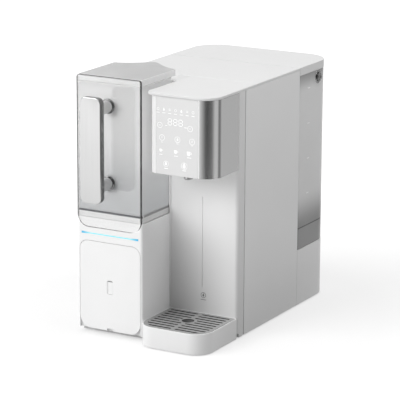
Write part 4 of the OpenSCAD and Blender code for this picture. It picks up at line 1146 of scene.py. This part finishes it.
def make_ledge(name, tip_x, side_x, front_x):
    """One half of the ledge behind the jug at cover height, cut back along the spout."""
    near, far = sorted((tip_x, side_x))
    wing = start_block(
        name, place(near, LEDGE_FRONT, LEDGE_LOW), place(far, LEDGE_REAR, LEDGE_HIGH)
    )
    tip = place(tip_x, LEDGE_FRONT, 0)
    choose_points(wing, lambda co: abs(co.x - tip.x) < NEAR and abs(co.y - tip.y) < NEAR)
    move_chosen((front_x - tip_x) * MM, 0, 0)
    round_edges(wing, 0.6 * MM)
    smooth(wing)
    fit(wing, "housing", "white_plastic", "cover_white")


def make_level_marks():
    """Pale printed caps on the tank's level marks, both sides, whose faint glow is painted light.
    """
    wall_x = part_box("raw_tank")[1].x
    low = Vector((wall_x - 0.3 * MM, place(0, LEVEL_FRONT, 0).y, LEVEL_LOW * MM))
    high = Vector((wall_x + 0.06 * MM, place(0, LEVEL_REAR, 0).y, LEVEL_HIGH * MM))
    first = start_block("level_mark", low, high)
    choose_edges(first, lambda middle, course: abs(course.x) > STRAIGHT)
    bevel_chosen(0.6 * MM, 3)
    far = copy_of(first, "level_mark", (-2 * wall_x, 0, 0))
    marks = [first, far]
    for step in (1, 2, 3):
        for piece in (first, far):
            marks.append(copy_of(piece, "level_mark", (0, 0, step * LEVEL_STEP * MM)))
    fit(join("level_marks", marks), "tank", "grey_plastic", "mark_faint")


def make_knob_bezel():
    """A bright ring round the knob's pocket in the tank wall."""
    middle = place(0, KNOB_Y, KNOB_Z)
    middle.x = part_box("raw_tank")[1].x - 0.5 * MM
    bezel = start_tube(
        "knob_bezel", middle, 10.9 * MM, 0.9 * MM, 1.2 * MM, 64, FACING_SIDE
    )
    round_edges(bezel, 0.25 * MM)
    smooth(bezel)
    fit(bezel, "tank", "steel", "nozzle_metal")


def make_knob_grip():
    """The knob's raised round grip, with a dished face."""
    centre = place(0, KNOB_Y, KNOB_Z)
    centre.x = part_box("tank_knob")[1].x + 1.6 * MM
    grip = start_disc("knob_grip", centre, 6.6 * MM, 4.0 * MM, 48, FACING_SIDE)
    choose_faces(grip, lambda middle, normal: normal.x > STRAIGHT)
    bpy.ops.mesh.inset(thickness=1.3 * MM, depth=0.0)
    bpy.ops.mesh.inset(thickness=0.5 * MM, depth=-1.2 * MM)
    shaped()
    round_edges(grip, 0.5 * MM)
    smooth(grip)
    fit(grip, "tank_knob", "steel", "grip_chrome")


# Studio

WHITE = (1, 1, 1, 1)
SKY_LIGHT = 0.62
FLOOR_SIZE = 14

# The floor throws little soft light back near this spot and all of it further off
BOUNCE_SPOT = (0.3, 0.0, 0)
BOUNCE_NEAR, BOUNCE_FAR = 0.16, 0.42
BOUNCE_DARK, BOUNCE_PALE = grey(0.02), grey(0.62)
FLOOR_SHOWN = grey(0.44)

# Where the floor is seen it glows, from near the object to far off
GLOW_NEAR, GLOW_FAR = 0.3, 1.2
GLOW_LOW, GLOW_HIGH = 0.54, 0.8

# A curved card that only mirror-like surfaces see: bearings from the front, in degrees towards
# the right, each with a brightness
CARD_TONES = (
    (-22, 0.8),
    (4, 0.36),
    (20, 0.13),
    (34, 0.09),
    (62, 0.19),
    (84, 0.62),
    (104, 0.6),
    (112, 0.2),
    (126, 0.24),
    (138, 0.54),
    (176, 0.5),
)
CARD_SPOT = (0.09, -0.15, 0.0)
CARD_RADIUS = 0.85
CARD_MIDDLE, CARD_TALL = 0.6, 1.4
CARD_STEPS = 64


def seen_directly(tree):
    """One for rays from the camera, through clear pieces and off shiny ones; nought for soft
    light."""
    path = add(tree, "ShaderNodeLightPath")
    first = add(tree, "ShaderNodeMath", operation="MAXIMUM")
    seen = add(tree, "ShaderNodeMath", operation="MAXIMUM")
    wire(tree, path, "Is Camera Ray", first, 0)
    wire(tree, path, "Is Transmission Ray", first, 1)
    wire(tree, first, "Value", seen, 0)
    wire(tree, path, "Is Glossy Ray", seen, 1)
    return seen


def set_studio():
    scene = bpy.context.scene
    scene.view_settings.view_transform = "Standard"
    world = bpy.data.worlds.new("studio")
    scene.world = world
    world.use_nodes = True
    tree = world.node_tree
    sky = dial(tree.nodes["Background"], Color=WHITE, Strength=SKY_LIGHT)
    white = dial(add(tree, "ShaderNodeBackground"), Color=WHITE, Strength=1.0)
    pick = add(tree, "ShaderNodeMixShader")
    wire(tree, seen_directly(tree), "Value", pick, "Fac")
    wire(tree, sky, "Background", pick, 1)
    wire(tree, white, "Background", pick, 2)
    wire(tree, pick, "Shader", tree.nodes["World Output"], "Surface")


def floor_finish():
    material, tree, shader = new_finish("floor_white")
    where = add(tree, "ShaderNodeTexCoord")
    apart = add(tree, "ShaderNodeVectorMath", operation="DISTANCE")
    apart.inputs[1].default_value = BOUNCE_SPOT
    reach = dial(add(tree, "ShaderNodeMapRange"), From_Min=BOUNCE_NEAR, From_Max=BOUNCE_FAR)
    bounce = dial(add(tree, "ShaderNodeMix", data_type="RGBA"), A=BOUNCE_DARK, B=BOUNCE_PALE)
    path = add(tree, "ShaderNodeLightPath")
    ground = dial(add(tree, "ShaderNodeMix", data_type="RGBA"), A=FLOOR_SHOWN)
    wire(tree, where, "Object", apart, 0)
    wire(tree, apart, "Value", reach, "Value")
    wire(tree, reach, "Result", bounce, "Factor")
    wire(tree, bounce, "Result", ground, "B")
    wire(tree, path, "Is Diffuse Ray", ground, "Factor")
    wire(tree, ground, "Result", shader, "Base Color")
    dial(shader, Roughness=0.9, Specular_IOR_Level=0.0)
    away = add(tree, "ShaderNodeVectorMath", operation="LENGTH")
    white = dial(
        add(tree, "ShaderNodeMapRange"),
        From_Min=GLOW_NEAR,
        From_Max=GLOW_FAR,
        To_Min=GLOW_LOW,
        To_Max=GLOW_HIGH,
    )
    share = add(tree, "ShaderNodeMath", operation="MULTIPLY")
    glow = add(tree, "ShaderNodeEmission")
    both = add(tree, "ShaderNodeAddShader")
    wire(tree, where, "Object", away, 0)
    wire(tree, away, "Value", white, "Value")
    wire(tree, seen_directly(tree), "Value", share, 0)
    wire(tree, white, "Result", share, 1)
    wire(tree, share, "Value", glow, "Strength")
    wire(tree, shader, "BSDF", both, 0)
    wire(tree, glow, "Emission", both, 1)
    wire(tree, both, "Shader", tree.nodes["Material Output"], "Surface")
    return material


def add_floor():
    nothing_selected()
    bpy.ops.mesh.primitive_plane_add(size=FLOOR_SIZE, location=(0, 0, 0))
    floor = bpy.context.object
    floor.name = "floor"
    floor.data.materials.append(floor_finish())


def card_finish():
    material, tree, shader = new_finish("reflector")
    where = add(tree, "ShaderNodeTexCoord")
    turn = dial(add(tree, "ShaderNodeMapping"), Rotation=(0, 0, math.pi / 2))
    bearing = add(tree, "ShaderNodeTexGradient", gradient_type="RADIAL")
    tone = add(tree, "ShaderNodeValToRGB")
    ramp = tone.color_ramp
    while len(ramp.elements) > 1:
        ramp.elements.remove(ramp.elements[-1])
    for index, (angle, value) in enumerate(CARD_TONES):
        spot = 0.5 + angle / 360.0
        stop = ramp.elements[0] if index == 0 else ramp.elements.new(spot)
        stop.position = spot
        stop.color = grey(value)
    wire(tree, where, "Object", turn, "Vector")
    wire(tree, turn, "Vector", bearing, "Vector")
    wire(tree, bearing, "Fac", tone, "Fac")
    wire(tree, tone, "Color", shader, "Emission Color")
    dial(shader, Emission_Strength=1.0, Base_Color=(0, 0, 0, 1), Specular_IOR_Level=0.0)
    return material


def add_reflector():
    """The curved card: one upright edge of a narrow plane, spun round the front and right."""
    first, last = math.radians(CARD_TONES[0][0]), math.radians(CARD_TONES[-1][0])
    nothing_selected()
    bpy.ops.mesh.primitive_plane_add(size=1, location=(0, 0, 0))
    card = bpy.context.object
    card.name = "reflector"
    spot = Matrix.Translation((0, -CARD_RADIUS, CARD_MIDDLE))
    card.matrix_world = spot @ Matrix.Rotation(math.pi / 2, 4, "X")
    card.scale = (0.001, CARD_TALL, 1)
    settle(card)
    choose_points(card, lambda co: co.x < 0)
    bpy.ops.mesh.delete(type="VERT")
    bpy.ops.mesh.select_all(action="SELECT")
    bpy.ops.mesh.spin(
        steps=CARD_STEPS, angle=-(last - first), center=(0, 0, 0), axis=(0, 0, 1)
    )
    shaped()
    card.rotation_euler = (0, 0, first)
    settle(card)
    card.data.materials.append(card_finish())
    card.location = CARD_SPOT
    card.visible_camera = False
    card.visible_diffuse = False
    card.visible_shadow = False
    card.visible_transmission = False


def add_lamp(name, spot, target, size, power):
    nothing_selected()
    bpy.ops.object.light_add(type="AREA", location=spot)
    lamp = bpy.context.object
    lamp.name = name
    lamp.data.shape = "RECTANGLE"
    lamp.data.size, lamp.data.size_y = size
    lamp.data.energy = power
    lamp.visible_camera = False
    lamp.visible_transmission = False
    lamp.rotation_mode = "QUATERNION"
    lamp.rotation_quaternion = (Vector(target) - lamp.location).to_track_quat("-Z", "Y")
    return lamp


def light_studio():
    add_lamp("key", (-1.5, -2.4, 1.9), (0, 0, 0.22), (2.6, 2.2), 72)
    add_lamp("top", (0.9, 0.3, 2.3), (0, 0, 0.3), (1.6, 1.6), 14)
    niche = add_lamp("niche", (0.082, -0.168, 0.205), (0.07, -0.09, 0.24), (0.06, 0.03), 0.015)
    niche.visible_glossy = False
    add_reflector()


set_camera()
paint_nodes()
soften_nodes()
make_bar()
make_collars()
make_jug_lid()
make_panel_marks()
make_wall_mark()
make_corner_bead()
make_ledge("ledge_right", -58.4, 0.3, -26.7)
make_ledge("ledge_left", -63.6, -119.4, -95.3)
make_level_marks()
make_knob_bezel()
make_knob_grip()
set_studio()
add_floor()
light_studio()
